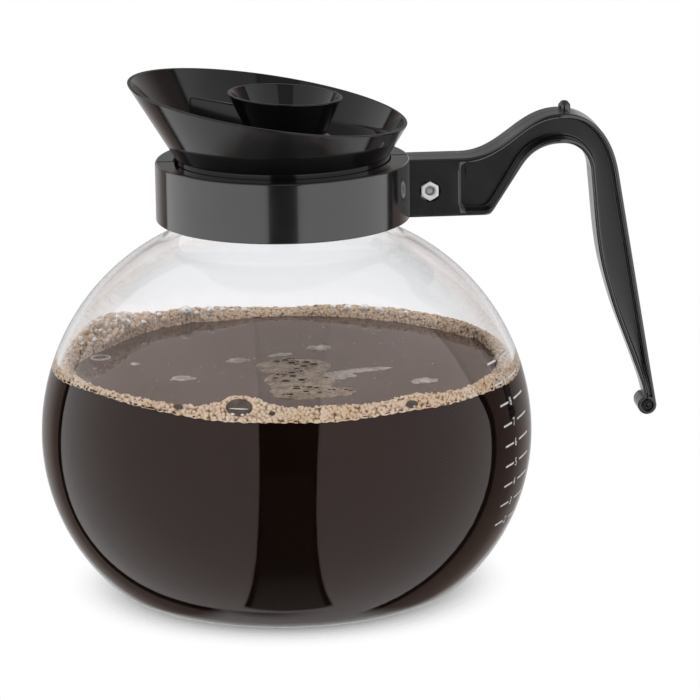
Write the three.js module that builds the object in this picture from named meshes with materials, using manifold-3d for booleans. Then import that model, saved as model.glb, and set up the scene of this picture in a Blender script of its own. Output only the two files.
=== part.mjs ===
// Glass coffee carafe: a globe of blown glass, held at the neck by a clamp collar and hook handle
// that are moulded as two mirrored halves, with a loose funnel lid and a drip funnel pushed into it.
// Millimetres, +Z up. The origin is on the axis of the globe at the base plane.
// +X points to the handle, -X to the pour side, and -Y is the left side of someone holding it.

import * as THREE from 'three';
import { mergeVertices } from 'three/addons/utils/BufferGeometryUtils.js';
import Module from 'manifold-3d';

const wasm = await Module();
wasm.setup();

// Driving dimensions: fits and facets
const CLEARANCE = 0.3;
const ROUND_SEGMENTS = 48;
const SMALL_SEGMENTS = 20;
const CURVE_SEGMENTS = 8;
const ARC_STEP = 8;

// Driving dimensions: glass globe
const GLOBE_RADIUS = 80;
const EQUATOR_HEIGHT = 51;
const LOWER_RADIUS = 65.6;
const UPPER_RADIUS = 72;
const HEEL_RADIUS = 15;
const GLASS_WALL = 2.2;
const NECK_RADIUS = 36;
const NECK_FILLET = 8;
const BEAD_PROUD = 2;
const BEAD_HEIGHT = 5;
const BEAD_ROUND = 1;

// Driving dimensions: clamp collar
const COLLAR_HEIGHT = 19.3;
const COLLAR_WALL = 2.7;
const COLLAR_EDGE = 0.8;
const TOP_LIP = 1.7;
const BOTTOM_LIP = 2.3;
const SEAM_GAP = 0.3;
const TONGUE_SKIN = 0.5;
const TONGUE_LENGTH = 6;
const TONGUE_HEIGHT = 9;

// Driving dimensions: side view of the handle, from the collar outwards and from its top edge up and down
const HANDLE_TOP_DROP = 0.5;
const HANDLE_FOOT_DROP = 0.1;
const TOP_FLAT = 17;
const BRACKET_REACH = 25.6;
const BRACKET_CORNER = 3;
const ARCH_RUN = 10;
const ARCH_START_DROP = 3.5;
const HUMP_RUN = 13.4;
const HUMP_RISE = 13.6;
const HUMP_THICKNESS = 9.7;
const GRIP_RUN = 18.6;
const GRIP_TOP_DROP = 6.5;
const GRIP_LENGTH = 78.3;
const GRIP_LEAN = 12.9;
const GRIP_EYE_RADIUS = 3.1;

// Thickness of the grip at shares of its length from the hump down, and the share where its pocket ends
const GRIP_SECTIONS = [[0, 9], [0.33, 10.6], [0.55, 9.1], [0.78, 5.6], [0.92, 3.6]];
const POCKET_END = 0.92;

// Where the round end of the grip leaves its inner and outer edges, in degrees
const EYE_ARC_START = 153;
const EYE_ARC_END = 369;

// How far the tangents of the handle's curves reach, as shares of each curve
const ROUND_PULL = 0.57;
const S_CURVE_PULL = 0.42;

// Driving dimensions: section of the handle
const HANDLE_WIDTH = 14;
const HANDLE_END_WIDTH = 10;
const FLANGE = 1.6;
const WEB = 3;
const POCKET_START = 15.8;

// Driving dimensions: fasteners and peg
const BOLT_RADIUS = 1.5;
const BOLT_REACH = 6;
const BOLT_BELOW_MIDDLE = 0.95;
const BOLT_HEAD_RADIUS = 2.9;
const BOLT_HEAD_HEIGHT = 2.2;
const BOLT_HEAD_ROUND = 0.8;
const BOLT_POINT = 0.5;
const NUT_FLATS = 5.5;
const NUT_HEIGHT = 2.4;
const RECESS_DEPTH = 2.7;
const RIVET_RADIUS = 0.9;
const RIVET_BORE = 0.5;
const RIVET_HEAD_RADIUS = 1.7;
const RIVET_HEAD = 0.6;
const EYE_RECESS = 1.2;
const PEG_BEHIND_HUMP = 1.5;
const PEG_RADIUS = 2;
const PEG_HEIGHT = 3.2;
const PEG_CONE = 1.4;
const PEG_TIP_RADIUS = 0.9;
const PEG_SHANK_RADIUS = 1.1;
const PEG_SHANK = 1.4;

// Driving dimensions: lid, with its pour windows
const LID_TURN = 10;
const LID_WALL = 1.2;
const PLUG_GAP = 0.6;
const PLUG_DEPTH = 13;
const SHOULDER_WIDTH = 1.5;
const SHOULDER_HEIGHT = 3.3;
const CONE_SLOPE = 0.61;
const RIM_HEIGHT = 19.6;
const RIM_SLOPE = 0.164;
const FLOOR_HEIGHT = 7.2;
const FLOOR_THICKNESS = 2;
const POUR_WINDOWS = 3;
const POUR_WINDOW_PITCH = 17;
const POUR_WINDOW_HEIGHT = 11;
const POUR_WINDOW_BAR = 1.8;

// Driving dimensions: drip funnel, which stands off the lid's axis towards the handle
const FUNNEL_OFFSET = 1.7;
const SPOUT_RADIUS = 10.3;
const SPOUT_WALL = 1.5;
const SPOUT_LENGTH = 10;
const SNAP_PROUD = 0.9;
const FOOT_WIDTH = 4.2;
const FOOT_HEIGHT = 1.5;
const WAIST_WIDTH = 2.2;
const CUP_RIM_RADIUS = 18.6;
const CUP_HEIGHT = 15.1;
const CUP_SLOPE = 0.06;
const FIN_GAP = 6.1;
const FIN_FOOT_THICKNESS = 4.8;
const FIN_TOP_THICKNESS = 1.2;
const FIN_BELOW_RIM = 2.7;

// Glass and collar, worked out from the driving dimensions
const mouthRadius = NECK_RADIUS - GLASS_WALL;
const filletReach = NECK_RADIUS + NECK_FILLET;
const upperCentre = new THREE.Vector2(GLOBE_RADIUS - UPPER_RADIUS, EQUATOR_HEIGHT);
const lowerCentre = new THREE.Vector2(GLOBE_RADIUS - LOWER_RADIUS, EQUATOR_HEIGHT);
const heelCentre = new THREE.Vector2(
  lowerCentre.x + legOf(LOWER_RADIUS - HEEL_RADIUS, EQUATOR_HEIGHT - HEEL_RADIUS),
  HEEL_RADIUS,
);
const neckCentre = new THREE.Vector2(
  filletReach,
  EQUATOR_HEIGHT + legOf(UPPER_RADIUS + NECK_FILLET, filletReach - upperCentre.x),
);
const collarBottom = neckCentre.y - CLEARANCE;
const collarTop = collarBottom + COLLAR_HEIGHT;
const glassTop = collarTop - TOP_LIP - CLEARANCE;
const boreRadius = NECK_RADIUS + BEAD_PROUD + CLEARANCE;
const collarRadius = boreRadius + COLLAR_WALL;

// Handle and fasteners
const handleTop = collarTop - HANDLE_TOP_DROP;
const rootHeight = COLLAR_HEIGHT - HANDLE_TOP_DROP + HANDLE_FOOT_DROP;
const bracketX = collarRadius + BRACKET_REACH;
const archX = bracketX + ARCH_RUN;
const humpX = archX + HUMP_RUN;
const gripTopX = humpX + GRIP_RUN;
const gripEyeX = gripTopX + GRIP_LEAN - GRIP_EYE_RADIUS;
const gripEyeZ = handleTop - GRIP_TOP_DROP - GRIP_LENGTH;
const halfWidth = HANDLE_WIDTH / 2;
const boltX = collarRadius + BOLT_REACH;
const boltZ = handleTop - rootHeight / 2 - BOLT_BELOW_MIDDLE;
const nutSeat = halfWidth - RECESS_DEPTH + CLEARANCE;
const nutCorner = NUT_FLATS / Math.sqrt(3);
const rivetSeat = HANDLE_END_WIDTH / 2 - EYE_RECESS;
const pegX = humpX + PEG_BEHIND_HUMP;
const pegSeat = handleTop + HUMP_RISE;

// Lid and drip funnel
const plugRadius = mouthRadius - PLUG_GAP;
const shoulderRadius = plugRadius + SHOULDER_WIDTH;
const lipRadius = shoulderRadius + CLEARANCE;
const lidSeat = glassTop + CLEARANCE;
const coneStart = lidSeat + SHOULDER_HEIGHT;
const lidFloor = lidSeat + FLOOR_HEIGHT;
const lidRim = lidSeat + RIM_HEIGHT;
const coneThickness = LID_WALL * Math.hypot(1, CONE_SLOPE);

// A length past every piece, for blocks that cut away a whole side
const farAway = 4 * GLOBE_RADIUS;

// Side of a right triangle from its long side and its other side
function legOf(longSide, side) {
  return Math.sqrt(longSide * longSide - side * side);
}

// Points along an arc in the plane of a profile, angles in radians
function arcPoints(centre, radius, from, to) {
  const steps = Math.ceil(Math.abs(THREE.MathUtils.radToDeg(to - from)) / ARC_STEP);
  const points = [];
  for (let i = 0; i <= steps; i += 1) {
    const angle = from + ((to - from) * i) / steps;
    points.push(new THREE.Vector2(
      centre.x + radius * Math.cos(angle),
      centre.y + radius * Math.sin(angle),
    ));
  }
  return points;
}

function profilePoints(pairs) {
  return pairs.map(([radius, height]) => new THREE.Vector2(radius, height));
}

// Closed solid for joining and cutting, with its shared vertices merged and its faces turned outwards
function solidOf(geometry) {
  const mergeDistance = 1e-4;
  const bare = geometry.clone();
  bare.deleteAttribute('normal');
  bare.deleteAttribute('uv');
  const merged = mergeVertices(bare, mergeDistance);
  const vertProperties = new Float32Array(merged.getAttribute('position').array);
  const index = merged.index.array;
  const kept = [];
  let volume = 0;
  const [a, b, c] = [new THREE.Vector3(), new THREE.Vector3(), new THREE.Vector3()];
  for (let i = 0; i < index.length; i += 3) {
    const corners = [index[i], index[i + 1], index[i + 2]];
    if (new Set(corners).size < 3) continue;
    a.fromArray(vertProperties, 3 * corners[0]);
    b.fromArray(vertProperties, 3 * corners[1]);
    c.fromArray(vertProperties, 3 * corners[2]);
    volume += a.dot(b.cross(c));
    kept.push(corners);
  }
  const outward = volume > 0 ? kept : kept.map(([i, j, k]) => [i, k, j]);
  const triVerts = new Uint32Array(outward.flat());
  return new wasm.Manifold(new wasm.Mesh({ numProp: 3, vertProperties, triVerts }));
}

function geometryOf(solid) {
  const mesh = solid.getMesh();
  const geometry = new THREE.BufferGeometry();
  geometry.setAttribute('position', new THREE.Float32BufferAttribute(mesh.vertProperties, 3));
  geometry.setIndex(new THREE.BufferAttribute(mesh.triVerts, 1));
  geometry.computeVertexNormals();
  return geometry;
}

// Solid of revolution about Z from a closed profile of radius and height
function turned(points, segments = ROUND_SEGMENTS) {
  return solidOf(new THREE.LatheGeometry(points, segments).rotateX(Math.PI / 2));
}

function closedRing(pairs) {
  return turned(profilePoints([...pairs, pairs[0]]));
}

// Solid of revolution about an axis along Y through x and z, with the profile's heights along +Y
function turnedAlongY(pairs, x, z) {
  return solidOf(new THREE.LatheGeometry(profilePoints(pairs), SMALL_SEGMENTS).translate(x, 0, z));
}

function block(xRange, yRange, zRange) {
  const sides = [xRange, yRange, zRange].map(([low, high]) => high - low);
  const middle = [xRange, yRange, zRange].map(([low, high]) => (low + high) / 2);
  return new THREE.BoxGeometry(...sides).translate(...middle);
}

// Space above a plane that crosses the axis at a height and falls towards +X by a slope
function spaceAbove(height, slope) {
  const space = block([-farAway, farAway], [-farAway, farAway], [0, farAway]);
  return solidOf(space.rotateY(Math.atan(slope)).translate(0, 0, height));
}

// Shape in X and Z, extruded along -Y from nearY to farY, both given as distances from the seam plane
function plate(shape, nearY, farY, taper) {
  const geometry = new THREE.ExtrudeGeometry(shape, {
    depth: farY - nearY,
    bevelEnabled: false,
    curveSegments: CURVE_SEGMENTS,
  });
  geometry.rotateX(Math.PI / 2).translate(0, -nearY, 0);
  if (taper) taper(geometry.getAttribute('position'));
  return solidOf(geometry);
}

// Glass globe
function glassGlobe() {
  const lowerJoin = heelCentre.clone().sub(lowerCentre).angle() - 2 * Math.PI;
  const upperJoin = neckCentre.clone().sub(upperCentre).angle();
  const wallFace = (inset) => [
    new THREE.Vector2(0, inset),
    ...arcPoints(heelCentre, HEEL_RADIUS - inset, -Math.PI / 2, lowerJoin),
    ...arcPoints(lowerCentre, LOWER_RADIUS - inset, lowerJoin, 0).slice(1),
    ...arcPoints(upperCentre, UPPER_RADIUS - inset, 0, upperJoin).slice(1),
    ...arcPoints(neckCentre, NECK_FILLET + inset, upperJoin + Math.PI, Math.PI).slice(1),
  ];
  const beadRadius = NECK_RADIUS + BEAD_PROUD;
  const rim = profilePoints([
    [NECK_RADIUS, glassTop - BEAD_HEIGHT - BEAD_PROUD],
    [beadRadius, glassTop - BEAD_HEIGHT],
    [beadRadius, glassTop - BEAD_ROUND],
    [beadRadius - BEAD_ROUND, glassTop],
    [mouthRadius, glassTop],
  ]);
  return turned([...wallFace(0), ...rim, ...wallFace(GLASS_WALL).reverse()]);
}

// Soft ring between the neck and the clamp, under the bead of the glass
function neckCushion() {
  const inner = NECK_RADIUS + CLEARANCE;
  const outer = boreRadius - CLEARANCE;
  const bottom = collarBottom + BOTTOM_LIP + CLEARANCE;
  const top = glassTop - BEAD_HEIGHT - BEAD_PROUD - CLEARANCE;
  return closedRing([[inner, bottom], [outer, bottom], [outer, top], [inner, top]]);
}

// Side view of the handle, drawn in by an inset for its pockets, from a start on the root
function handleShape(inset, start) {
  const slant = new THREE.Vector2(ARCH_RUN, rootHeight - ARCH_START_DROP).normalize();
  const bottom = handleTop - rootHeight + inset;
  const corner = new THREE.Vector2(bracketX - slant.y * inset, bottom);
  const arch = new THREE.Vector2(
    archX - slant.y * inset,
    handleTop - ARCH_START_DROP + slant.x * inset,
  );
  const hump = handleTop + HUMP_RISE - inset;
  const apex = handleTop + HUMP_RISE - HUMP_THICKNESS + inset;
  const archPull = (apex - arch.y) * ROUND_PULL;
  const outerEdge = (share) => gripTopX + GRIP_LEAN * share - inset;
  const gripHeight = (share) => handleTop - GRIP_TOP_DROP - GRIP_LENGTH * share;
  const innerPoints = GRIP_SECTIONS.map(([share, thickness]) => new THREE.Vector2(
    outerEdge(share) - thickness + 2 * inset,
    gripHeight(share),
  ));
  const [gripTop, ...gripInner] = innerPoints;
  const crown = hump - gripHeight(0);
  const crownLean = (crown * GRIP_LEAN) / GRIP_LENGTH;
  const flatEnd = collarRadius + TOP_FLAT;
  const climb = (humpX - flatEnd) * S_CURVE_PULL;

  const shape = new THREE.Shape();
  shape.moveTo(start, bottom);
  shape.lineTo(corner.x - BRACKET_CORNER, bottom);
  const cornerEnd = slant.clone().multiplyScalar(BRACKET_CORNER).add(corner);
  shape.quadraticCurveTo(corner.x, corner.y, cornerEnd.x, cornerEnd.y);
  shape.lineTo(arch.x, arch.y);
  shape.bezierCurveTo(
    arch.x + slant.x * archPull, arch.y + slant.y * archPull,
    humpX - (humpX - arch.x) * ROUND_PULL, apex,
    humpX, apex,
  );
  shape.bezierCurveTo(
    humpX + (gripTop.x - humpX) * ROUND_PULL, apex,
    gripTop.x, gripTop.y + (apex - gripTop.y) * ROUND_PULL,
    gripTop.x, gripTop.y,
  );
  if (inset > 0) {
    shape.splineThru(gripInner.slice(0, -1));
    shape.lineTo(outerEdge(POCKET_END), gripHeight(POCKET_END));
  } else {
    const [from, to] = [EYE_ARC_START, EYE_ARC_END].map(THREE.MathUtils.degToRad);
    shape.splineThru(gripInner);
    shape.absarc(gripEyeX, gripEyeZ, GRIP_EYE_RADIUS, from, to, false);
  }
  shape.lineTo(outerEdge(0), gripHeight(0));
  shape.bezierCurveTo(
    outerEdge(0) - crownLean * ROUND_PULL, gripHeight(0) + crown * ROUND_PULL,
    humpX + (outerEdge(0) - humpX) * ROUND_PULL, hump,
    humpX, hump,
  );
  shape.bezierCurveTo(
    humpX - climb, hump,
    flatEnd + climb, handleTop - inset,
    flatEnd, handleTop - inset,
  );
  shape.lineTo(start, handleTop - inset);
  shape.closePath();
  return shape;
}

// Narrows the handle evenly from the hump to the eye at the end of the grip
function taperGrip(position) {
  const eyeStart = gripEyeX - GRIP_EYE_RADIUS;
  for (let i = 0; i < position.count; i += 1) {
    const part = THREE.MathUtils.clamp((position.getX(i) - humpX) / (eyeStart - humpX), 0, 1);
    position.setY(i, position.getY(i) * (1 - part * (1 - HANDLE_END_WIDTH / HANDLE_WIDTH)));
  }
}

// Hole of a radius along Y, from a depth beside the seam plane out through the -Y side of the handle
function sideHole(radius, x, z, depth = 0) {
  const outside = -halfWidth - CLEARANCE;
  return turnedAlongY([[0, outside], [radius, outside], [radius, -depth], [0, -depth]], x, z);
}

// One moulded half of collar and handle, on the -Y side of the seam plane, before the front joint is cut
function clampHalf() {
  const bottomLipRadius = NECK_RADIUS + 2 * CLEARANCE;
  const ring = closedRing([
    [collarRadius, collarBottom],
    [collarRadius, collarTop - COLLAR_EDGE],
    [collarRadius - COLLAR_EDGE, collarTop],
    [lipRadius, collarTop],
    [lipRadius, collarTop - TOP_LIP],
    [boreRadius, collarTop - TOP_LIP],
    [boreRadius, collarBottom + BOTTOM_LIP],
    [bottomLipRadius, collarBottom + BOTTOM_LIP],
    [bottomLipRadius, collarBottom],
  ]);
  const seam = SEAM_GAP / 2;
  const side = solidOf(block([-farAway, farAway], [-farAway, -seam], [-farAway, farAway]));
  const rootStart = boreRadius + COLLAR_WALL / 2;
  const outside = halfWidth + FLANGE;
  const pocketStart = collarRadius + POCKET_START;
  const pegBore = PEG_SHANK_RADIUS + CLEARANCE;
  const pegBottom = pegSeat - PEG_SHANK - CLEARANCE;
  const pegHole = turned(profilePoints([
    [0, pegBottom],
    [pegBore, pegBottom],
    [pegBore, pegSeat + CLEARANCE],
    [0, pegSeat + CLEARANCE],
  ]), SMALL_SEGMENTS).translate([pegX, 0, 0]);
  return plate(handleShape(0, rootStart), seam, halfWidth, taperGrip)
    .subtract(plate(handleShape(FLANGE, pocketStart), WEB / 2, outside, taperGrip))
    .add(ring.intersect(side))
    .subtract(sideHole(BOLT_RADIUS + CLEARANCE, boltX, boltZ))
    .subtract(sideHole(RIVET_RADIUS + CLEARANCE, gripEyeX, gripEyeZ))
    .subtract(sideHole(RIVET_HEAD_RADIUS + CLEARANCE, gripEyeX, gripEyeZ, rivetSeat))
    .subtract(pegHole);
}

// Curved tongue at the front of the left half, which enters a pocket in the right half
function frontTongue(extra) {
  const skin = TONGUE_SKIN + CLEARANCE - extra;
  const middle = (collarBottom + collarTop) / 2;
  const low = middle - TONGUE_HEIGHT / 2 - extra;
  const high = middle + TONGUE_HEIGHT / 2 + extra;
  const inner = boreRadius + skin;
  const outer = collarRadius - skin;
  const front = block(
    [-collarRadius, 0],
    [-TONGUE_LENGTH, TONGUE_LENGTH + extra],
    [low - CLEARANCE, high + CLEARANCE],
  );
  return closedRing([[inner, low], [outer, low], [outer, high], [inner, high]]).intersect(solidOf(front));
}

// Round recess in the root of the handle on the +Y side, for the bolt's head or its nut
function rootRecess(radius) {
  const floor = halfWidth - RECESS_DEPTH;
  const outside = halfWidth + CLEARANCE;
  return turnedAlongY([[0, floor], [radius, floor], [radius, outside], [0, outside]], boltX, boltZ);
}

function clampHalfLeft() {
  const nutRecess = rootRecess(nutCorner + CLEARANCE).mirror([0, 1, 0]);
  return clampHalf().add(frontTongue(0)).subtract(nutRecess);
}

function clampHalfRight() {
  const headRecess = rootRecess(BOLT_HEAD_RADIUS + CLEARANCE);
  return clampHalf().mirror([0, 1, 0]).subtract(frontTongue(CLEARANCE)).subtract(headRecess);
}

// Bolt across the root of the handle, with its head on the right side and its nut on the left
function clampBolt() {
  const end = -nutSeat - NUT_HEIGHT - BOLT_POINT;
  const headTop = nutSeat + BOLT_HEAD_HEIGHT;
  return turnedAlongY([
    [0, end],
    [BOLT_RADIUS - BOLT_POINT, end],
    [BOLT_RADIUS, end + BOLT_POINT],
    [BOLT_RADIUS, nutSeat],
    [BOLT_HEAD_RADIUS, nutSeat],
    [BOLT_HEAD_RADIUS, headTop - BOLT_HEAD_ROUND],
    [BOLT_HEAD_RADIUS - BOLT_HEAD_ROUND, headTop],
    [0, headTop],
  ], boltX, boltZ);
}

// Hexagon nut with a corner up
function clampNut() {
  const sides = 6;
  const hexagon = new THREE.CylinderGeometry(nutCorner, nutCorner, NUT_HEIGHT, sides)
    .translate(boltX, -nutSeat - NUT_HEIGHT / 2, boltZ);
  const bore = BOLT_RADIUS + CLEARANCE;
  const outside = -nutSeat - NUT_HEIGHT - CLEARANCE;
  const through = [[0, outside], [bore, outside], [bore, 0], [0, 0]];
  return solidOf(hexagon).subtract(turnedAlongY(through, boltX, boltZ));
}

// Tubular rivet through the eye at the end of the grip, with its heads sunk in
function gripRivet() {
  const face = rivetSeat + CLEARANCE;
  return turnedAlongY([
    [RIVET_BORE, -face - RIVET_HEAD],
    [RIVET_HEAD_RADIUS, -face - RIVET_HEAD],
    [RIVET_HEAD_RADIUS, -face],
    [RIVET_RADIUS, -face],
    [RIVET_RADIUS, face],
    [RIVET_HEAD_RADIUS, face],
    [RIVET_HEAD_RADIUS, face + RIVET_HEAD],
    [RIVET_BORE, face + RIVET_HEAD],
    [RIVET_BORE, -face - RIVET_HEAD],
  ], gripEyeX, gripEyeZ);
}

// Peg on top of the hump, held between the halves
function handlePeg() {
  const profile = profilePoints([
    [0, -PEG_SHANK],
    [PEG_SHANK_RADIUS, -PEG_SHANK],
    [PEG_SHANK_RADIUS, CLEARANCE],
    [PEG_RADIUS, CLEARANCE],
    [PEG_RADIUS, PEG_HEIGHT - PEG_CONE],
    [PEG_TIP_RADIUS, PEG_HEIGHT],
    [0, PEG_HEIGHT],
  ]);
  return turned(profile, SMALL_SEGMENTS).translate([pegX, 0, pegSeat]);
}

// Outside radius of the lid's cone at a height
function coneAt(height) {
  return shoulderRadius + CONE_SLOPE * (height - coneStart);
}

// Solid of revolution about the axis of the drip funnel
function turnedAboutFunnel(pairs) {
  return turned(profilePoints(pairs)).translate([FUNNEL_OFFSET, 0, 0]);
}

// Funnel lid: a plug in the mouth of the glass, a shoulder on its rim, a floor and a slanted cone
function lidBowl() {
  const plugBottom = lidSeat - PLUG_DEPTH;
  const uncutTop = lidRim + RIM_HEIGHT;
  const underFloor = lidFloor - FLOOR_THICKNESS;
  const body = turned(profilePoints([
    [0, underFloor],
    [plugRadius - LID_WALL, underFloor],
    [plugRadius - LID_WALL, plugBottom],
    [plugRadius, plugBottom],
    [plugRadius, lidSeat],
    [shoulderRadius, lidSeat],
    [shoulderRadius, coneStart],
    [coneAt(uncutTop), uncutTop],
    [coneAt(uncutTop) - coneThickness, uncutTop],
    [coneAt(lidFloor) - coneThickness, lidFloor],
    [0, lidFloor],
  ]));
  const holeRadius = SPOUT_RADIUS + CLEARANCE;
  const spoutHole = turnedAboutFunnel([
    [0, underFloor - CLEARANCE],
    [holeRadius, underFloor - CLEARANCE],
    [holeRadius, lidFloor + CLEARANCE],
    [0, lidFloor + CLEARANCE],
  ]);
  let lid = body.subtract(spaceAbove(lidRim, RIM_SLOPE)).subtract(spoutHole);
  const pitch = THREE.MathUtils.degToRad(POUR_WINDOW_PITCH);
  const windowHalf = plugRadius * Math.sin(pitch / 2) - POUR_WINDOW_BAR / 2;
  for (let i = 0; i < POUR_WINDOWS; i += 1) {
    const window = block(
      [-shoulderRadius - CLEARANCE, -plugRadius + 2 * LID_WALL],
      [-windowHalf, windowHalf],
      [coneStart - POUR_WINDOW_HEIGHT, coneStart],
    );
    lid = lid.subtract(solidOf(window.rotateZ(pitch * (i - (POUR_WINDOWS - 1) / 2))));
  }
  return lid;
}

// Drip funnel: a cup on a foot, with a spout through the floor of the lid and a fin to lift the lid by
function dripFunnel() {
  const seat = lidFloor + CLEARANCE;
  const spoutBottom = lidFloor - SPOUT_LENGTH;
  const snapTop = lidFloor - FLOOR_THICKNESS - CLEARANCE;
  const bore = SPOUT_RADIUS - SPOUT_WALL;
  const footRadius = SPOUT_RADIUS + FOOT_WIDTH;
  const waistRadius = SPOUT_RADIUS + WAIST_WIDTH;
  const waist = seat + 2 * FOOT_HEIGHT;
  const rim = seat + CUP_HEIGHT;
  const uncutTop = rim + CUP_HEIGHT;
  const past = uncutTop + CLEARANCE;
  const flare = (CUP_RIM_RADIUS - waistRadius) / (rim - waist);
  const cupAt = (height) => CUP_RIM_RADIUS + flare * (height - rim);
  const outside = turnedAboutFunnel([
    [0, spoutBottom],
    [SPOUT_RADIUS, spoutBottom],
    [SPOUT_RADIUS, snapTop - 2 * SNAP_PROUD],
    [SPOUT_RADIUS + SNAP_PROUD, snapTop],
    [SPOUT_RADIUS, snapTop],
    [SPOUT_RADIUS, seat],
    [footRadius, seat],
    [footRadius, seat + FOOT_HEIGHT],
    [waistRadius, waist],
    [cupAt(uncutTop), uncutTop],
    [0, uncutTop],
  ]);
  const inside = turnedAboutFunnel([
    [0, spoutBottom - CLEARANCE],
    [bore, spoutBottom - CLEARANCE],
    [bore, seat],
    [waistRadius - LID_WALL, waist],
    [cupAt(past) - LID_WALL, past],
    [0, past],
  ]);
  const aboveRim = spaceAbove(rim, CUP_SLOPE).translate([FUNNEL_OFFSET, 0, 0]);
  const finReach = coneAt(lidFloor) - coneThickness - FIN_GAP;
  const finRoot = FUNNEL_OFFSET - SPOUT_RADIUS;
  const finTop = (x) => lidRim - FIN_BELOW_RIM - RIM_SLOPE * x;
  const finHeight = finTop(-finReach) - seat;
  const finShape = new THREE.Shape();
  finShape.moveTo(finRoot, seat);
  finShape.lineTo(-finReach, seat);
  finShape.lineTo(-finReach, finTop(-finReach));
  finShape.lineTo(finRoot, finTop(finRoot));
  const taperFin = (position) => {
    for (let i = 0; i < position.count; i += 1) {
      const part = (position.getZ(i) - seat) / finHeight;
      position.setY(i, position.getY(i) * (1 - part * (1 - FIN_TOP_THICKNESS / FIN_FOOT_THICKNESS)));
    }
  };
  const fin = plate(finShape, -FIN_FOOT_THICKNESS / 2, FIN_FOOT_THICKNESS / 2, taperFin);
  return outside.subtract(aboveRim).add(fin).subtract(inside);
}

// Materials
const glass = new THREE.MeshStandardMaterial({
  color: 0xe6ecec,
  roughness: 0.05,
  metalness: 0,
  transparent: true,
  opacity: 0.35,
});
const handlePlastic = new THREE.MeshStandardMaterial({ color: 0x1b1c1e, roughness: 0.35, metalness: 0 });
const lidPlastic = new THREE.MeshStandardMaterial({ color: 0x121315, roughness: 0.15, metalness: 0 });
const cushionRubber = new THREE.MeshStandardMaterial({ color: 0x2a2a2a, roughness: 0.8, metalness: 0 });
const steel = new THREE.MeshStandardMaterial({ color: 0xd2d4d6, roughness: 0.25, metalness: 1 });
const blackSteel = new THREE.MeshStandardMaterial({ color: 0x262626, roughness: 0.4, metalness: 0.6 });

function piece(name, solid, material) {
  const mesh = new THREE.Mesh(geometryOf(solid), material.clone());
  mesh.name = name;
  return mesh;
}

// Assembly: the jug stands still, and the lid sits turned a little in the neck
const jug = new THREE.Group();
jug.add(
  piece('glass_globe', glassGlobe(), glass),
  piece('neck_cushion', neckCushion(), cushionRubber),
  piece('clamp_half_left', clampHalfLeft(), handlePlastic),
  piece('clamp_half_right', clampHalfRight(), handlePlastic),
  piece('clamp_bolt', clampBolt(), steel),
  piece('clamp_nut', clampNut(), steel),
  piece('grip_rivet', gripRivet(), blackSteel),
  piece('handle_peg', handlePeg(), handlePlastic),
);

const lid = new THREE.Group();
lid.rotation.z = THREE.MathUtils.degToRad(-LID_TURN);
lid.add(
  piece('lid_bowl', lidBowl(), lidPlastic),
  piece('drip_funnel', dripFunnel(), lidPlastic),
);

const carafe = new THREE.Group();
carafe.add(jug, lid);

export default carafe;
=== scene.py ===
import math
import random

import bmesh
import bpy
from mathutils import Matrix, Vector, noise


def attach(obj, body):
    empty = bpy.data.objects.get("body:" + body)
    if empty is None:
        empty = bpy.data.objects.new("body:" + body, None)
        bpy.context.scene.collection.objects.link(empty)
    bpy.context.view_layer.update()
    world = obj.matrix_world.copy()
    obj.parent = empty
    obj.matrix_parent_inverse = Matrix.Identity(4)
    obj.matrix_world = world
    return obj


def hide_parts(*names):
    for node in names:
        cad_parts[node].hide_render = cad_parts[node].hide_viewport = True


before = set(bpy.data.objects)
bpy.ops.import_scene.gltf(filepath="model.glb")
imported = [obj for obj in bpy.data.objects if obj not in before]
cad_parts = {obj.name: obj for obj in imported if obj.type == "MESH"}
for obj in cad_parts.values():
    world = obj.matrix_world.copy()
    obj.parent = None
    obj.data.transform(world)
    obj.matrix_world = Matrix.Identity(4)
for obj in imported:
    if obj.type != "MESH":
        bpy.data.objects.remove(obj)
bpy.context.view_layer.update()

scene = bpy.context.scene
scene.view_settings.view_transform = "Standard"

# Sizes are in millimetres, and meshes turn them into metres
MM = 0.001
CLEARANCE = 0.3

# Glass globe
GLOBE_RADIUS = 80
EQUATOR = 51
LOWER_RADIUS = 65.6
UPPER_RADIUS = 72
HEEL_RADIUS = 15
GLASS_WALL = 2.2
NECK_RADIUS = 36
NECK_FILLET = 8
BEAD_PROUD = 2
BEAD_HEIGHT = 5

# Clamp collar
COLLAR_HEIGHT = 19.3
COLLAR_WALL = 2.7
TOP_LIP = 1.7
BOTTOM_LIP = 2.3
SEAM = 0.15
SEAM_ROUND = 0.6

# Handle
HANDLE_TOP_DROP = 0.5
HANDLE_FOOT_DROP = 0.1
TOP_FLAT = 17
BRACKET_REACH = 25.6
BRACKET_CORNER = 3
ARCH_RUN = 10
ARCH_START_DROP = 3.5
HUMP_RUN = 13.4
HUMP_RISE = 13.6
HUMP_THICKNESS = 9.7
GRIP_RUN = 18.6
GRIP_TOP_DROP = 6.5
GRIP_LENGTH = 78.3
GRIP_LEAN = 12.9
EYE_RADIUS = 3.1
EYE_CHANNEL_HALF = 0.62
# Share of the grip's length, and its thickness there
GRIP_SECTIONS = [(0, 9), (0.33, 10.6), (0.55, 9.1), (0.78, 5.6), (0.92, 3.6), (1.0, 3.4)]
ROUND_PULL = 0.57
S_CURVE_PULL = 0.42
HALF_WIDTH = 7
END_HALF_WIDTH = 5
FLANGE = 1.6
WEB = 3
POCKET_START = 15.8
POCKET_CORNER = 2.2
POCKET_LIP = 0.7
POCKET_FOOT = 0.4
POCKET_DRAFT = 0.05
POCKET_SHALLOW = 0.8
POCKET_END = 0.93
EDGE = 0.8

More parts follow.
